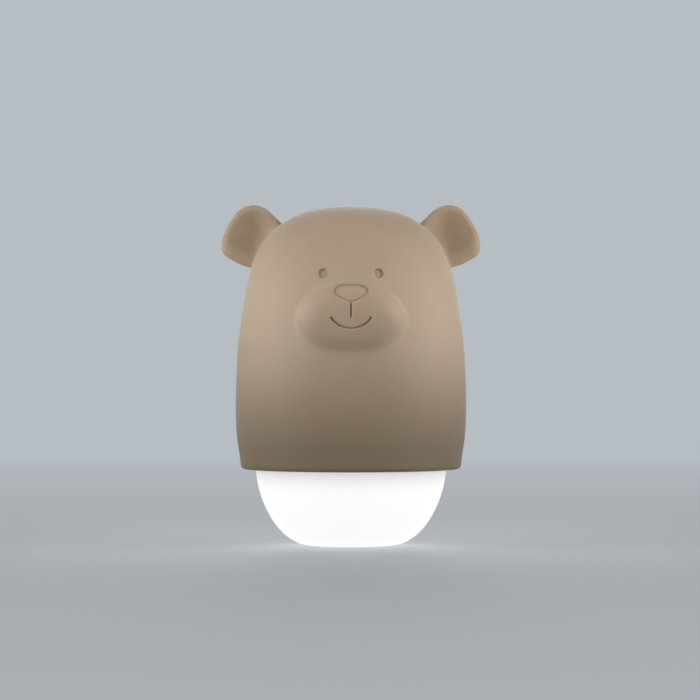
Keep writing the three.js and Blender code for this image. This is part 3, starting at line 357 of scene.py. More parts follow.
def snout_field(x, y, z):
    """A ball, wider than deep, whose power above 2 flattens its front."""
    rise = z - SNOUT_H
    a = SNOUT_HALF_W * (1 - SNOUT_NARROWS * np.clip(rise / SNOUT_UP, 0, 1))
    b = SNOUT_HALF_DEPTH
    c = np.where(z > SNOUT_H, SNOUT_UP, SNOUT_DOWN)
    middle = SNOUT_Y - SNOUT_TILT * (rise - 3)
    px, py, pz = x / a, np.abs(y - middle) / b, rise / c
    out = np.maximum(np.sqrt(px * px + pz * pz), 1e-6)
    m = SNOUT_POWER
    size = (out ** m + py ** m) ** (1 / m)
    lean = (out / size) ** (m - 1) / out
    deep = (py / size) ** (m - 1)
    slope = np.sqrt((lean * px / a) ** 2 + (lean * pz / c) ** 2 + (deep / b) ** 2)
    return (size - 1) / slope


# The face, drawn on the front as (x, z)
EYE_X, EYE_Z = 7.75, LAMP_H - 20.4
EYE_R = 1.3
NOSE_TOP = LAMP_H - 23.95
NOSE_HALF_W, NOSE_DEEP = 4.85, 4.75
NOSE_MID = NOSE_TOP - 2.5
LINE_TOP, LINE_BOTTOM = NOSE_TOP - 4.6, LAMP_H - 32.7
MOUTH_H = LAMP_H - 33.2
MOUTH_W, MOUTH_SAG = 5.5, 2.85
MOUTH_R = (MOUTH_W ** 2 + MOUTH_SAG ** 2) / (2 * MOUTH_SAG)
MOUTH_C = MOUTH_H - MOUTH_SAG + MOUTH_R
MOUTH_HALF = math.asin(MOUTH_W / MOUTH_R)
# How deep each part of the face is pressed in, or its lip raised, and how wide its edge is
EYE_PIT, EYE_PIT_R, EYE_PIT_EDGE = 0.9, 1.58, 0.5
EYE_BUMP, EYE_BUMP_W = 0.45, 0.62
EYE_LIP, EYE_LIP_R, EYE_LIP_W = 0.16, 1.85, 0.28
NOSE_PAD, NOSE_PAD_TILT, NOSE_PAD_EDGE = 0.4, 0.06, 0.5
NOSE_GROOVE, NOSE_GROOVE_TILT, NOSE_LINE_W = 0.5, 0.05, 0.33
NOSE_LIP, NOSE_LIP_OUT = 0.27, 0.7
MOUTH_DEPTH, MOUTH_LINE_W, MOUTH_END_W = 0.9, 0.22, 0.07
LINE_DEPTH, LINE_W = 0.8, 0.27

nose_right = [(x * NOSE_HALF_W, NOSE_TOP - z * NOSE_DEEP) for x, z in NOSE_SHARES]
nose_left = [(-x, z) for x, z in nose_right[-2:0:-1]]
nose_ring = catmull(nose_right + nose_left, 8, closed=True)
nose_plane = Plane2D(
    (-8, NOSE_TOP - 8), (8, NOSE_TOP + 3), 0.05, lambda x, z: signed_ring(x, z, nose_ring),
)


def eye_distance(x, z):
    """Distance to the middle of the nearer eye."""
    return np.hypot(np.abs(x) - EYE_X, z - EYE_Z)


def mouth_distance(x, z):
    """Distance to the smile, and how far along it from its middle, from 0 to 1."""
    turn = np.clip(np.arctan2(x, MOUTH_C - z), -MOUTH_HALF, MOUTH_HALF)
    distance = np.hypot(x - MOUTH_R * np.sin(turn), z - MOUTH_C + MOUTH_R * np.cos(turn))
    return distance, np.abs(turn) / MOUTH_HALF


def line_distance(x, z):
    """Distance to the upright line under the nose."""
    return np.hypot(x, z - np.clip(z, LINE_BOTTOM, LINE_TOP))


def face_depth(x, z):
    """How far the surface is pressed in at a place on the front."""
    # Eyes: a flat pit with a bump in its middle and a low lip round it
    eye = eye_distance(x, z)
    depth = EYE_PIT * smooth_step((EYE_PIT_R - eye) / EYE_PIT_EDGE)
    depth -= EYE_BUMP * gauss(eye, EYE_BUMP_W) + EYE_LIP * gauss(eye - EYE_LIP_R, EYE_LIP_W)
    # Nose: a tilted pad inside a groove, with a low lip round it
    nose = nose_plane(x, z)
    up = z - NOSE_MID
    depth += (NOSE_PAD - NOSE_PAD_TILT * up) * smooth_step((0.15 - nose) / NOSE_PAD_EDGE)
    depth += (NOSE_GROOVE + NOSE_GROOVE_TILT * up) * gauss(nose, NOSE_LINE_W)
    depth -= NOSE_LIP * gauss(nose - NOSE_LIP_OUT, NOSE_LINE_W)
    # Smile, wider at its ends, and the line under the nose
    mouth, along = mouth_distance(x, z)
    mouth_w = MOUTH_LINE_W + MOUTH_END_W * along ** 6
    depth = np.maximum(depth, MOUTH_DEPTH * gauss(mouth, mouth_w))
    return np.maximum(depth, LINE_DEPTH * gauss(line_distance(x, z), LINE_W))


# Fillets and rounded edges of the cover, and the part of its front that the face is drawn on
EAR_FILLET = 0.7
SNOUT_FILLET, SNOUT_FILLET_ABOVE, SNOUT_FILLET_BELOW = 1.3, 3.2, 1.3
RIM_ROUND, HOLLOW_ROUND, SLOT_ROUND, LENS_HOLE_ROUND = 1.2, 0.5, 0.6, 0.35
FACE_Y, FACE_HALF_W, FACE_LOW, FACE_HIGH = -12, 12, 58, 84


def cover_field(x, y, z):
    """The soft cover: dome, ears, snout and face, hollow, open below and at the back."""
    body = blend(outer_dome(x, y, z), ear_field(x, y, z), EAR_FILLET)
    above = smooth_step((z - SNOUT_H - 1) / 8) * smooth_step((13 - np.abs(x)) / 9)
    below = smooth_step((SNOUT_H - 3 - z) / 5)
    fillet = SNOUT_FILLET + SNOUT_FILLET_ABOVE * above + SNOUT_FILLET_BELOW * below
    body = blend(body, snout_field(x, y, z), fillet)
    facing = (y < FACE_Y) & (np.abs(x) < FACE_HALF_W) & (z > FACE_LOW) & (z < FACE_HIGH)
    body = body + np.where(facing, face_depth(x, z), 0)
    body = round_and(body, RIM_H - z, RIM_ROUND)

    lip_top = RIM_H + LIP_H
    hole = prism_field(x, y, *(s + GAP for s in CASING))
    cavity = np.minimum(
        np.maximum(inner_dome(x, y, z), lip_top - z), np.maximum(hole, z - lip_top - 2),
    )
    body = round_and(body, -cavity, HOLLOW_ROUND)

    slot_top, slot_bottom = BLOCK_TOP + GAP, RIM_H - BLOCK_R - 4
    mid, tall = (slot_top + slot_bottom) / 2, (slot_top - slot_bottom) / 2
    slot = rect_field(x, z, 0, mid, BLOCK_W + GAP, tall, BLOCK_R + GAP)
    slot = np.maximum(slot, CASING[2] / 2 - y)
    body = round_and(body, -slot, SLOT_ROUND)
    return round_and(body, -lens_hole(x, y, z, LENS_R + GAP), LENS_HOLE_ROUND)


def lens_hole(x, y, z, r):
    """A hole down through the crown."""
    return np.maximum(np.hypot(x, y - SENSOR_Y) - r, LENS_HOLE_BOTTOM - z)


# Meshes
def surface_nets(field, low, high, step):
    """Quads over the zero surface of a field inside a box."""
    axes = [np.arange(a, b + step, step) for a, b in zip(low, high)]
    shape = tuple(len(a) for a in axes)
    values = np.empty(shape)
    gx, gz = np.meshgrid(axes[0], axes[2], indexing="ij")
    for j, y in enumerate(axes[1]):
        values[:, j, :] = field(gx, np.full(gx.shape, y), gz)
    inside = values < 0
    corner = np.zeros(tuple(n - 1 for n in shape), np.int8)
    for di in (0, 1):
        for dj in (0, 1):
            for dk in (0, 1):
                corner += inside[di:shape[0] - 1 + di, dj:shape[1] - 1 + dj, dk:shape[2] - 1 + dk]
    cells = np.argwhere((corner > 0) & (corner < 8))
    number = np.full(corner.shape, -1)
    number[tuple(cells.T)] = np.arange(len(cells))
    total, count = np.zeros((len(cells), 3)), np.zeros(len(cells))
    for axis in range(3):
        others = [d for d in range(3) if d != axis]
        for s in (0, 1):
            for t in (0, 1):
                a = cells.copy()
                a[:, others[0]] += s
                a[:, others[1]] += t
                b = a.copy()
                b[:, axis] += 1
                va, vb = values[tuple(a.T)], values[tuple(b.T)]
                cut = (va < 0) != (vb < 0)
                share = np.where(cut, va / np.where(cut, va - vb, 1), 0)
                point = a.astype(float)
                point[:, axis] += share
                total += point * cut[:, None]
                count += cut
    verts = total / count[:, None] * step + np.array(low)
    quads = []
    for axis in range(3):
        u, v = [d for d in range(3) if d != axis]
        first = [slice(None)] * 3
        second = [slice(None)] * 3
        first[axis], second[axis] = slice(0, -1), slice(1, None)
        a, b = inside[tuple(first)], inside[tuple(second)]
        edges = np.argwhere(a != b)
        for across in (u, v):
            edges = edges[(edges[:, across] > 0) & (edges[:, across] < shape[across] - 1)]
        ring = []
        for du, dv in ((-1, -1), (0, -1), (0, 0), (-1, 0)):
            cell = edges.copy()
            cell[:, u] += du
            cell[:, v] += dv
            ring.append(number[tuple(cell.T)])
        ring = np.stack(ring, 1)
        starts_inside = a[tuple(edges.T)]
        turned_over = starts_inside if axis == 1 else ~starts_inside
        ring[turned_over] = ring[turned_over][:, ::-1]
        quads.append(ring)
    return verts, np.vstack(quads)


SETTLE_ROUNDS = 3
SETTLE_MOST = 0.4
SLOPE_STEP = 0.02


def settle(field, verts):
    """Moves each vertex onto the zero surface, along the field's slope."""
    h = SLOPE_STEP
    for _ in range(SETTLE_ROUNDS):
        x, y, z = verts.T
        value = field(x, y, z)
        slope = np.stack([
            field(x + h, y, z) - field(x - h, y, z),
            field(x, y + h, z) - field(x, y - h, z),
            field(x, y, z + h) - field(x, y, z - h),
        ], 1) / (2 * h)
        size = np.maximum((slope ** 2).sum(1), 0.05)
        move = -slope * (value / size)[:, None]
        length = np.maximum(np.linalg.norm(move, axis=1), 1e-9)
        verts = verts + move * np.minimum(1, SETTLE_MOST / length)[:, None]
    return verts


def new_object(name, verts, faces):
    """A smooth-shaded object from points in millimetres."""
    mesh = bpy.data.meshes.new(name)
    mesh.from_pydata((np.asarray(verts) * MM).tolist(), [], [list(map(int, f)) for f in faces])
    mesh.validate()
    mesh.polygons.foreach_set("use_smooth", [True] * len(mesh.polygons))
    mesh.update()
    piece = bpy.data.objects.new(name, mesh)
    bpy.context.scene.collection.objects.link(piece)
    return piece


FINE_REACHES = (1.1, 0.75)


def field_piece(name, field, low, high, step, fine=None):
    """A piece from a field. Where fine says so, its faces are split twice and settle again."""
    verts, quads = surface_nets(field, low, high, step)
    verts = settle(field, verts)
    piece = new_object(name, verts, quads)
    if fine is not None:
        for reach in FINE_REACHES:
            bm = bmesh.new()
            bm.from_mesh(piece.data)
            centres = np.array([f.calc_center_median() for f in bm.faces]) / MM
            near = fine(centres, reach)
            faces = [f for f, hit in zip(bm.faces, near) if hit]
            edges = list({e for f in faces for e in f.edges})
            bmesh.ops.subdivide_edges(bm, edges=edges, cuts=1, use_grid_fill=True)
            bm.to_mesh(piece.data)
            bm.free()
        flat = np.empty(len(piece.data.vertices) * 3)
        piece.data.vertices.foreach_get("co", flat)
        points = settle(field, flat.reshape(-1, 3) / MM)
        piece.data.vertices.foreach_set("co", (points * MM).ravel())
        piece.data.polygons.foreach_set("use_smooth", [True] * len(piece.data.polygons))
        piece.data.update()
    return piece


def near_face(centres, reach):
    """Whether each place is within reach of the face's lines and eyes."""
    x, y, z = centres.T
    lines = (np.abs(nose_plane(x, z)), mouth_distance(x, z)[0], line_distance(x, z))
    eyes = np.maximum(eye_distance(x, z) - EYE_R, 0)
    return (y < -15) & (np.minimum.reduce([*lines, eyes]) < reach)


# Soft cover
cover = field_piece(
    "cover_skin", cover_field, (-39.5, -33.5, 21), (39.5, 14.8, 101), 0.5, near_face,
)
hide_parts("bear_cover")
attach(cover, "cover")


# Light bowl
def ring_points(half, front, back, height, count):
    """Points round the plan at a height, on the same curves as plan_radius."""
    turn = 2 * np.pi * np.arange(count) / count
    c, s = np.cos(turn), np.sin(turn)
    power = np.where(s > 0, 2 / 3, 1)
    x = half * np.sign(c) * np.abs(c) ** power
    y = np.where(s > 0, back, front) * np.sign(s) * np.abs(s) ** power
    return np.stack([x, y, np.full(count, float(height))], 1)


def joined_rings(rings, count):
    """Quads between each ring of points and the next."""
    quads = []
    for r in range(rings - 1):
        for i in range(count):
            a, b = r * count + i, r * count + (i + 1) % count
            quads.append((a, b, b + count, a + count))
    return quads


def end_caps(rings, count):
    """The first and the last ring as faces."""
    last = (rings - 1) * count
    return [tuple(range(count))[::-1], tuple(range(last, last + count))]


def loft(name, rows, count=128):
    """Rings (half, front, back, height) joined into one closed surface."""
    verts = np.vstack([ring_points(*row, count) for row in rows])
    return new_object(name, verts, joined_rings(len(rows), count) + end_caps(len(rows), count))


BOWL_WALL = 1.8
COLLAR_WALL = 1.2
COLLAR_RISE = 3

side_curve = catmull(BOWL_SIDE_SHARES, 12)
back_curve = catmull(BOWL_BACK_SHARES, 12)


def bowl_row(height, taken=0.0):
    """The bowl's ring at a height, taken in by some depth."""
    t = height / BOWL_TOP
    side = float(np.interp(t, side_curve[:, 1], side_curve[:, 0]))
    back = float(np.interp(t, back_curve[:, 1], back_curve[:, 0]))
    return (CASING[0] * side - taken, CASING[1] * side - taken, CASING[2] * back - taken, height)


def bowl():
    """Underside, outer side, collar up into the casing, and the inner side down again."""
    foot = bowl_row(0.0)[:3]
    rows = [(*(s - e for s in foot), 0.0) for e in (6.0, 3.0, 1.2)]
    rows += [bowl_row(0.04)]
    rows += [bowl_row(h) for h in (BOWL_TOP * (np.linspace(0, 1, 44) ** 1.6))[1:-1]]
    edge = bowl_row(BOWL_TOP)[:3]
    rows += [(*edge, BOWL_TOP - 0.2), (*(s - 0.25 for s in edge), BOWL_TOP)]
    collar_out = [s - CASING_WALL - GAP for s in CASING]
    collar_in = [s - COLLAR_WALL for s in collar_out]
    rows += [(*collar_out, BOWL_TOP), (*collar_out, BOWL_TOP + COLLAR_RISE)]
    rows += [(*collar_in, BOWL_TOP + COLLAR_RISE), (*collar_in, BOWL_TOP - 1.2)]
    rows += [bowl_row(h, BOWL_WALL) for h in np.linspace(BOWL_TOP - 1.25, BOWL_WALL, 24)]
    return loft("bowl_glow", rows)


diffuser = bowl()
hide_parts("diffuser")
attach(diffuser, "casing")


# Casing
CASING_FILLET, CASING_BOTTOM_ROUND, CASING_EDGE, INNER_EDGE = 1.2, 0.4, 0.25, 0.3
PILLAR_R = 3.95
SCREW_HEAD_R, SCREW_SHAFT_R = 2.55, 1.45
PILLAR_FRONT, SCREW_SEAT = 7.3, 8.9
BLOCK_WALL = 2
BLOCK_ROUND, BLOCK_FILLET = 1.1, 0.6
SHELL_GAP = 0.15


def casing_outer(x, y, z):
    """Both shells' outer form: the dome, filleted into the straight part over the rim."""
    body = -blend(-casing_dome(x, y, z), -prism_field(x, y, *CASING), CASING_FILLET)
    return round_and(body, CASING_BOTTOM - z, CASING_BOTTOM_ROUND)


def casing_inner(x, y, z):
    """The room inside both shells, without the block's."""
    inner = [s - CASING_WALL for s in CASING]
    return np.maximum(casing_inner_dome(x, y, z), prism_field(x, y, *inner))


def front_field(x, y, z):
    """The front shell, with the hole for the lens."""
    body = round_and(casing_outer(x, y, z), y - SPLIT_Y, CASING_EDGE)
    body = round_and(body, -casing_inner(x, y, z), INNER_EDGE)
    return round_and(body, -lens_hole(x, y, z, LENS_R + SHELL_GAP), 0.2)


def plug_outline(x, z, wide, flat, high, end):
    """The plug's section: a slab with its four corners cut."""
    ax, az = np.abs(x), np.abs(z - BLOCK_MID)
    nx, nz = high - end, wide - flat
    cut = ((ax - flat) * nx + (az - high) * nz) / math.hypot(nx, nz)
    return round_and(round_and(ax - wide, az - high, 0.01), cut, 0.6)


def rear_field(x, y, z):
    """The rear shell with its hollow block, screw pillars, plug opening and switch slot."""
    ahead = SPLIT_Y + SHELL_GAP - y
    tall = (BLOCK_TOP - BLOCK_BOTTOM) / 2
    shell = round_and(casing_outer(x, y, z), ahead, CASING_EDGE)
    block = rect_field(x, z, 0, BLOCK_MID, BLOCK_W, tall, BLOCK_R)
    block = np.maximum(round_and(block, y - BLOCK_BACK, BLOCK_ROUND), ahead)
    body = round_or(shell, block, BLOCK_FILLET)
    t = BLOCK_WALL
    hollow = rect_field(x, z, 0, BLOCK_MID, BLOCK_W - t, tall - t, BLOCK_R - t)
    hollow = np.maximum(hollow, y - BLOCK_BACK + t)
    body = np.maximum(body, -np.minimum(casing_inner(x, y, z), hollow))
    for px in (-PILLAR_X, PILLAR_X):
        for pz in PILLAR_Z:
            r = np.hypot(x - px, z - pz)
            tube = np.maximum(r - PILLAR_R, np.maximum(PILLAR_FRONT - y, y - BLOCK_BACK + 1))
            body = np.minimum(body, tube)
            head = np.maximum(r - SCREW_HEAD_R, SCREW_SEAT - y)
            shaft = np.maximum(r - SCREW_SHAFT_R, -y)
            body = round_and(body, -np.minimum(head, shaft), INNER_EDGE)
    wide, flat, high, end = PLUG_SECTION
    opening = plug_outline(x, z, wide + GAP, flat + GAP / 2, high + GAP, end + GAP / 2)
    body = round_and(body, -np.maximum(opening, BLOCK_BACK - 4 - y), INNER_EDGE)
    slot_y, slot_z = STEM_HALF[1] + GAP, STEM_HALF[2] + SWITCH_TRAVEL + GAP
    slot = rect_field(y, z, KNOB_Y, BLOCK_MID, slot_y, slot_z, 0.5)
    return round_and(body, -np.maximum(slot, 17 - x), CASING_EDGE)


front_shell = field_piece(
    "casing_front", front_field, (-29.5, -24.6, 22.5), (29.5, 3.2, 97.5), 0.62,
)
rear_shell = field_piece(
    "casing_rear", rear_field, (-29.5, 1.0, 22.5), (29.5, 22.6, 97.5), 0.48,
)
for shell, node in ((front_shell, "front_housing"), (rear_shell, "rear_housing")):
    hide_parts(node)
    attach(shell, "casing")


# Plug body and the plate behind it, which two screws hold
PLATE_HALF_T = 1.2
PLATE_Y = BLOCK_BACK - 2.3 - PLATE_HALF_T
PLATE_SCREW_Z, PLATE_SCREW_R = 10.9, 1.25


def plug_field(x, y, z):
    """The plug's body on its plate, with holes for the pins and the screws."""
    body = plug_outline(x, z, *PLUG_SECTION)
    body = round_and(body, y - PLUG_FACE, 0.9)
    body = np.maximum(body, BLOCK_BACK - 2.6 - y)
    middle = (0, PLATE_Y, BLOCK_MID)
    plate = np.minimum(
        box_field(x, y, z, middle, (11.75, PLATE_HALF_T, 8.35), 0.3),
        box_field(x, y, z, middle, (4.5, PLATE_HALF_T, 13.6), 0.3),
    )
    for px in (-PIN_X, PIN_X):
        pin_hole = np.hypot(x - px, z - BLOCK_MID) - PIN_HOLE_R
        body = round_and(body, -pin_hole, 0.15)
        plate = np.maximum(plate, -pin_hole)
    for way in (-1, 1):
        screw_hole = np.hypot(x, z - BLOCK_MID - way * PLATE_SCREW_Z) - PLATE_SCREW_R
        plate = np.maximum(plate, -screw_hole)
    return np.minimum(body, plate)


plug = field_piece("plug_body", plug_field, (-19, 16, 42.5), (19, 39.6, 71.5), 0.4)
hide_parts("plug_insert")
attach(plug, "casing")


# Switch knob
def knob_field(x, y, z):
    """A cap with three finger grooves, on a stem through the slot."""
    cap_in = BLOCK_W + GAP
    cap_half = ((KNOB_OUT - BLOCK_W - GAP) / 2, 1.4, 2.7)
    cap = box_field(x, y, z, ((cap_in + KNOB_OUT) / 2, KNOB_Y, BLOCK_MID), cap_half, 0.25)
    for i in (-1, 0, 1):
        groove = np.hypot(x - KNOB_OUT - 0.12, z - BLOCK_MID - i * 1.35) - 0.42
        cap = round_and(cap, -groove, 0.08)
    stem_x = (BLOCK_W - 1.6 + KNOB_OUT) / 2 - 0.7
    stem = box_field(x, y, z, (stem_x, KNOB_Y, BLOCK_MID), STEM_HALF, 0.1)
    return np.minimum(cap, stem)


knob = field_piece(
    "switch_slider_knob", knob_field,
    (BLOCK_W - 3, KNOB_Y - 2, BLOCK_MID - 3.4), (BLOCK_W + 2, KNOB_Y + 2, BLOCK_MID + 3.4),
    0.11,
)
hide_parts("switch_knob")
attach(knob, "switch_slider")


# Pins and lens
TURNED_COUNT = 48
CREASE_ANGLE = 0.6


def turned(name, points, place, axis):
    """A closed piece turned round an axis from (radius, place along the axis) points."""
    verts = []
    for radius, along in points:
        for i in range(TURNED_COUNT):
            a = 2 * math.pi * i / TURNED_COUNT
            u, v = radius * math.cos(a), radius * math.sin(a)
            spot = (u, along, v) if axis == "Y" else (v, u, along)
            verts.append([p + q for p, q in zip(spot, place)])
    quads = [(a, d, c, b) for a, b, c, d in joined_rings(len(points), TURNED_COUNT)]
    caps = [cap[::-1] for cap in end_caps(len(points), TURNED_COUNT)]
    piece = new_object(name, verts, quads + caps)
    bm = bmesh.new()
    bm.from_mesh(piece.data)
    bmesh.ops.recalc_face_normals(bm, faces=bm.faces)
    for edge in bm.edges:
        if len(edge.link_faces) == 2 and edge.calc_face_angle(0) > CREASE_ANGLE:
            edge.smooth = False
    bm.to_mesh(piece.data)
    bm.free()
    return piece


# Finishes. Lengths in the nodes are in metres
NOISE_LOW, NOISE_HIGH = 0.3, 0.7


def new_finish(name):
    """A material with one shader: the material, its nodes, its links and the shader."""
    material = bpy.data.materials.new(name)
    material.use_nodes = True
    nodes, links = material.node_tree.nodes, material.node_tree.links
    nodes.clear()
    out = nodes.new("ShaderNodeOutputMaterial")
    shader = nodes.new("ShaderNodeBsdfPrincipled")
    links.new(shader.outputs[0], out.inputs[0])
    return material, nodes, links, shader


def mix_colour(nodes, links, factor, low, high):
    """The low colour where the factor is 0, the high one where it is 1."""
    mix = nodes.new("ShaderNodeMix")
    mix.data_type = "RGBA"
    mix.inputs[6].default_value = (*low, 1)
    mix.inputs[7].default_value = (*high, 1)
    links.new(factor, mix.inputs[0])
    return mix.outputs[2]


def noise(nodes, links, scale, detail):
    """Noise fixed to the object, about 0.5 on average."""
    where = nodes.new("ShaderNodeTexCoord")
    grain = nodes.new("ShaderNodeTexNoise")
    grain.inputs["Scale"].default_value = scale
    grain.inputs["Detail"].default_value = detail
    grain.inputs["Roughness"].default_value = 0.55
    links.new(where.outputs["Object"], grain.inputs["Vector"])
    return grain.outputs["Fac"]


def ramp(nodes, links, value, low, high, out_low, out_high):
    """The value carried from one range to another."""
    node = nodes.new("ShaderNodeMapRange")
    node.inputs["From Min"].default_value = low
    node.inputs["From Max"].default_value = high
    node.inputs["To Min"].default_value = out_low
    node.inputs["To Max"].default_value = out_high
    links.new(value, node.inputs["Value"])
    return node.outputs[0]


def drift_into(nodes, links, socket, scale, detail, low, high):
    """A colour that drifts between two over the surface."""
    drift = ramp(nodes, links, noise(nodes, links, scale, detail), NOISE_LOW, NOISE_HIGH, 0, 1)
    links.new(mix_colour(nodes, links, drift, low, high), socket)


def grain_into(nodes, links, shader, scale, gloss, depth, strength):
    """Fine surface grain: uneven roughness between two values, and bump."""
    fine = noise(nodes, links, scale, 2.0)
    uneven = ramp(nodes, links, fine, NOISE_LOW, NOISE_HIGH, *gloss)
    links.new(uneven, shader.inputs["Roughness"])
    bump = nodes.new("ShaderNodeBump")
    bump.inputs["Distance"].default_value = depth
    bump.inputs["Strength"].default_value = strength
    links.new(fine, bump.inputs["Height"])
    links.new(bump.outputs[0], shader.inputs["Normal"])


def plastic(name, colour, roughness, tint=0.04, depth=0.00003, metal=0.0, coat=0.0):
    """Moulded or metal finish: slow colour drift, fine surface grain and uneven gloss."""
    material, nodes, links, shader = new_finish(name)
    low = tuple(max(c * (1 - tint), 0) for c in colour)
    high = tuple(min(c * (1 + tint), 1) for c in colour)
    drift_into(nodes, links, shader.inputs["Base Color"], 55.0, 3.0, low, high)
    gloss = (roughness * 0.93, min(roughness * 1.07, 1))
    grain_into(nodes, links, shader, 2600.0, gloss, depth, 0.5)
    shader.inputs["Metallic"].default_value = metal
    shader.inputs["Coat Weight"].default_value = coat
    return material


def silicone():
    """Matt warm brown, with a powdery sheen and a little light under its surface."""
    material, nodes, links, shader = new_finish("silicone")
    brown, light_brown = (0.4, 0.298, 0.191), (0.42, 0.314, 0.203)
    drift_into(nodes, links, shader.inputs["Base Color"], 38.0, 4.0, brown, light_brown)
    grain_into(nodes, links, shader, 2200.0, (0.58, 0.68), 0.00004, 0.35)
    for key, value in (
        ("Specular IOR Level", 0.35), ("Sheen Weight", 0.34), ("Sheen Roughness", 0.4),
        ("Sheen Tint", (0.92, 0.96, 1.0, 1)), ("Subsurface Weight", 0.25),
        ("Subsurface Radius", (1.0, 0.55, 0.32)), ("Subsurface Scale", 0.0015),
    ):
        shader.inputs[key].default_value = value
    return material


def glow():
    """Milky plastic lit from inside, its glow a little dimmer up at the casing: painted shade from
    the cover's rim.
    """
    material, nodes, links, shader = new_finish("milky_glow")
    shader.inputs["Base Color"].default_value = (0.42, 0.42, 0.42, 1)
    shader.inputs["Roughness"].default_value = 0.38
    where = nodes.new("ShaderNodeTexCoord")
    split = nodes.new("ShaderNodeSeparateXYZ")
    links.new(where.outputs["Object"], split.inputs[0])
    # Painted shade: the glow strength falls from 0.84 to 0.57 over the bowl's top band, where the
    # cover's rim shades it.
    rim_painted_shade = nodes.new("ShaderNodeMapRange")
    rim_painted_shade.interpolation_type = "SMOOTHSTEP"
    for key, value in (
        ("From Min", 0.0155), ("From Max", 0.024), ("To Min", 0.84), ("To Max", 0.57),
    ):
        rim_painted_shade.inputs[key].default_value = value
    links.new(split.outputs["Z"], rim_painted_shade.inputs["Value"])
    warm_white, white = (1.0, 0.985, 0.965), (1.0, 1.0, 1.0)
    drift_into(nodes, links, shader.inputs["Emission Color"], 30.0, 3.0, warm_white, white)
    links.new(rim_painted_shade.outputs[0], shader.inputs["Emission Strength"])
    return material


finishes = {
    "silicone_cover": silicone(),
    "milky_plastic": glow(),
    "casing_plastic": plastic("casing", (0.8, 0.8, 0.78), 0.46),
    "plug_plastic": plastic("plug", (0.8, 0.8, 0.78), 0.42),
    "knob_plastic": plastic("knob", (0.74, 0.74, 0.72), 0.4),
    "tray_plastic": plastic("tray", (0.88, 0.88, 0.88), 0.5),
    "light_board_laminate": plastic("light_board", (0.8, 0.82, 0.78), 0.4),
    "led_phosphor": plastic("phosphor", (0.85, 0.68, 0.2), 0.35),
    "screw_steel": plastic("screw", (0.5, 0.51, 0.53), 0.32, metal=1.0),
    "pin_metal": plastic("pin", (0.72, 0.7, 0.66), 0.22, depth=0.00001, metal=1.0),
    "sleeve_plastic": plastic("sleeve", (0.03, 0.03, 0.034), 0.5),
    "board_laminate": plastic("board", (0.035, 0.15, 0.06), 0.35, tint=0.15),
    "capacitor_film": plastic("film", (0.55, 0.36, 0.04), 0.3),
    "capacitor_sleeve": plastic("sleeve_blue", (0.02, 0.025, 0.06), 0.3),
    "chip_resin": plastic("resin", (0.018, 0.018, 0.02), 0.5),
    "resistor_ceramic": plastic("ceramic", (0.22, 0.34, 0.27), 0.6),
    "varistor_resin": plastic("blue_dip", (0.03, 0.08, 0.32), 0.3),
    "header_nylon": plastic("nylon", (0.75, 0.73, 0.64), 0.45),
    "sensor_resin": plastic("sensor", (0.03, 0.03, 0.035), 0.15, coat=0.5),
    "lens_smoke": plastic("lens", (0.05, 0.045, 0.04), 0.12, depth=0.000005, coat=0.6),
    "switch_can_steel": plastic("can", (0.55, 0.56, 0.57), 0.35, metal=1.0),
    "brown_insulation": plastic("brown", (0.1, 0.04, 0.018), 0.4),
    "blue_insulation": plastic("blue", (0.02, 0.06, 0.28), 0.4),
    "red_insulation": plastic("red", (0.38, 0.02, 0.015), 0.4),
    "grey_insulation": plastic("grey", (0.24, 0.24, 0.25), 0.4),
}

# Pins: foot behind the plug's face, flange, bare end and rounded tip
PIN_PROFILE = [
    (1.0, -21.5), (1.0, -19.0), (2.4, -19.0), (2.4, -17.95), (PIN_R, -17.95), (PIN_R, -0.15),
    (1.3, -0.15), (1.3, 10.0), (1.93, 10.0), (PIN_R, 10.1), (PIN_R, 17.3), (1.93, 17.8),
    (1.75, 18.25), (1.4, 18.65), (0.9, 18.9),
]
pins = []
for side, x in (("left", -PIN_X), ("right", PIN_X)):
    pin = turned(f"pin_{side}", PIN_PROFILE, (x, PLUG_FACE, BLOCK_MID), "Y")
    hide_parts(f"plug_pin_{side}")
    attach(pin, "casing")
    pins.append(pin)

# Lens: foot under the crown, then the rod with its rounded top
lens_bottom, lens_top = (float(corner[2]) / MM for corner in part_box("sensor_lens"))
lens = turned(
    "lens_turned",
    [
        (2.6, lens_bottom), (2.6, lens_bottom + 1), (LENS_R, lens_bottom + 1),
        (LENS_R, lens_top - 0.35), (1.5, lens_top - 0.12), (1.2, lens_top - 0.02), (0.6, lens_top),
    ],
    (0, SENSOR_Y, 0), "Z",
)
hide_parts("sensor_lens")
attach(lens, "casing")

# Each new piece and each solid that shows gets its slot's finish
new_pieces = {
    "silicone_cover": [cover],
    "milky_plastic": [diffuser],
    "casing_plastic": [front_shell, rear_shell],
    "plug_plastic": [plug],
    "knob_plastic": [knob],
    "lens_smoke": [lens],
    "pin_metal": pins,
}
for slot, pieces in new_pieces.items():
    for piece in pieces:
        piece.data.materials.append(finishes[slot])
for entry in frame["record"]["subparts"]:
    node = frame["nodes"][entry["node"]]
    if not node.material_slots:
        node.data.materials.append(None)
    for holder in node.material_slots:
        holder.link = "OBJECT"
        holder.material = finishes[entry["material_slot"]]


# Floor and backdrop, from here on in metres
def maths(nodes, links, operation, first, second):
    node = nodes.new("ShaderNodeMath")
    node.operation = operation
    links.new(first, node.inputs[0])
    links.new(second, node.inputs[1])
    return node.outputs[0]


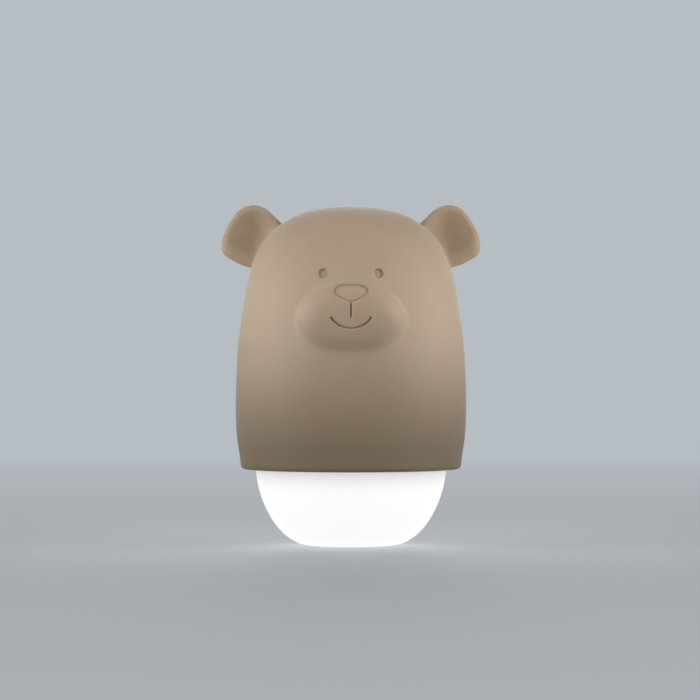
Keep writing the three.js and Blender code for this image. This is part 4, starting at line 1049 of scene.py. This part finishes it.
def paper(name, near, far):
    """Pale paper: an even tone to the camera, mixed near the object with what the lamps give."""
    material, nodes, links, shader = new_finish(name)
    path = nodes.new("ShaderNodeLightPath")
    seen = path.outputs["Is Camera Ray"]
    for key in ("Is Glossy Ray", "Is Transmission Ray"):
        seen = maths(nodes, links, "MAXIMUM", seen, path.outputs[key])
    unseen_grey, seen_grey = (0.22, 0.22, 0.22), (0.76, 0.79, 0.82)
    colour = mix_colour(nodes, links, seen, unseen_grey, seen_grey)
    links.new(colour, shader.inputs["Base Color"])
    shader.inputs["Roughness"].default_value = 0.9
    tone = nodes.new("ShaderNodeEmission")
    tone.inputs["Color"].default_value = (0.47, 0.51, 0.55, 1)
    where = nodes.new("ShaderNodeTexCoord")
    reach = nodes.new("ShaderNodeVectorMath")
    reach.operation = "LENGTH"
    links.new(where.outputs["Object"], reach.inputs[0])
    share = ramp(nodes, links, reach.outputs["Value"], near, far, 0.45, 1)
    mixed = nodes.new("ShaderNodeMixShader")
    links.new(maths(nodes, links, "MULTIPLY", share, seen), mixed.inputs[0])
    links.new(shader.outputs[0], mixed.inputs[1])
    links.new(tone.outputs[0], mixed.inputs[2])
    links.new(mixed.outputs[0], nodes["Material Output"].inputs[0])
    return material


def stage_sheet(name, rows, material, count=96):
    """A surface turned round the upright axis, from (radius, height) rows."""
    turns = [2 * math.pi * i / count for i in range(count)]
    verts = [(r * math.cos(a), r * math.sin(a), z) for r, z in rows for a in turns]
    mesh = bpy.data.meshes.new(name)
    mesh.from_pydata(verts, [], joined_rings(len(rows), count))
    mesh.polygons.foreach_set("use_smooth", [True] * len(mesh.polygons))
    mesh.materials.append(material)
    sheet = bpy.data.objects.new(name, mesh)
    bpy.context.scene.collection.objects.link(sheet)
    return sheet


FLOOR_Z = -0.00005
FLOOR_RADII = (0.00001, 0.2, 0.6, 1.3)
BEND_R = 0.7
WALL_TOP = 2.6

pale = paper("pale_paper", 0.12, 0.7)
stage_sheet("floor", [(r, FLOOR_Z) for r in FLOOR_RADII], pale)
floor_end = FLOOR_RADII[-1]
bend = [
    (floor_end + BEND_R * math.sin(a), FLOOR_Z + BEND_R * (1 - math.cos(a)))
    for a in np.linspace(0, math.pi / 2, 17)
]
wall = stage_sheet("backdrop", bend + [(floor_end + BEND_R, WALL_TOP)], pale)
wall.visible_diffuse = False
wall.visible_shadow = False


# Lamps: name, place, target, size, watts, spread in degrees, tint
def softbox(name, place, target, size, power, spread=180, tint=(1.0, 1.0, 1.0)):
    light = bpy.data.lights.new(name, "AREA")
    light.shape = "RECTANGLE"
    light.size, light.size_y = size
    light.energy = power
    light.color = tint
    light.spread = math.radians(spread)
    lamp = bpy.data.objects.new(name, light)
    lamp.visible_camera = False
    bpy.context.scene.collection.objects.link(lamp)
    lamp.location = place
    dx, dy, dz = (t - p for t, p in zip(target, place))
    lamp.rotation_euler = (math.atan2(math.hypot(dx, dy), -dz), 0, math.atan2(-dx, dy))


AIM = (0, 0, 0.1)
HEAD = (0, 0, 0.085)
WARM, COOL = (1.0, 0.97, 0.9), (0.95, 0.99, 1.1)
softbox("overhead", (0, 0, 1.5), (0, 0, 0), (1.6, 1.6), 2.5)
softbox("back", (0, 0.7, 0.4), AIM, (0.4, 0.3), 0.04, 60)
softbox("rear", (0, 0.6, 0.1), (0, 0.02, 0.055), (0.34, 0.16), 0.05, 30)
softbox("front", (0, -0.5, 0.14), (0, 0, 0.105), (0.12, 0.08), 0.0056, 14, WARM)
for way, side in ((-1, "left"), (1, "right")):
    for name, (x, y, z), target, size, power, spread in (
        ("side", (0.28, -0.07, 0.15), AIM, (0.18, 0.16), 0.032, 48),
        ("head", (0.28, -0.09, 0.2), HEAD, (0.12, 0.1), 0.0048, 30),
        ("cheek", (0.26, -0.26, 0.12), HEAD, (0.14, 0.1), 0.0126, 30),
        ("waist", (0.3, -0.08, 0.066), (0, 0, 0.066), (0.1, 0.02), 0.0054, 14),
    ):
        softbox(f"{name}_{side}", (way * x, y, z), target, size, power, spread, COOL)
    under_ear, ear = (way * 0.15, -0.03, 0.02), (way * 0.036, 0, 0.0865)
    softbox(f"ear_{side}", under_ear, ear, (0.03, 0.03), 0.00032, 10)

world = bpy.data.worlds.new("room")
world.use_nodes = True
background = world.node_tree.nodes["Background"]
background.inputs["Color"].default_value = (*WARM, 1)
background.inputs["Strength"].default_value = 0.22
bpy.context.scene.world = world

# Camera at the photograph's viewing angle
camera = bpy.data.cameras.new("photo_view")
camera.sensor_width = 36
camera.lens = 150.9
camera.clip_start = 0.05
view = bpy.data.objects.new("photo_view", camera)
bpy.context.scene.collection.objects.link(view)
view.location = (-0.00027, -0.858, 0.05705)
view.rotation_euler = (math.pi / 2, 0, 0)
bpy.context.scene.camera = view
bpy.context.scene.view_settings.view_transform = "Standard"
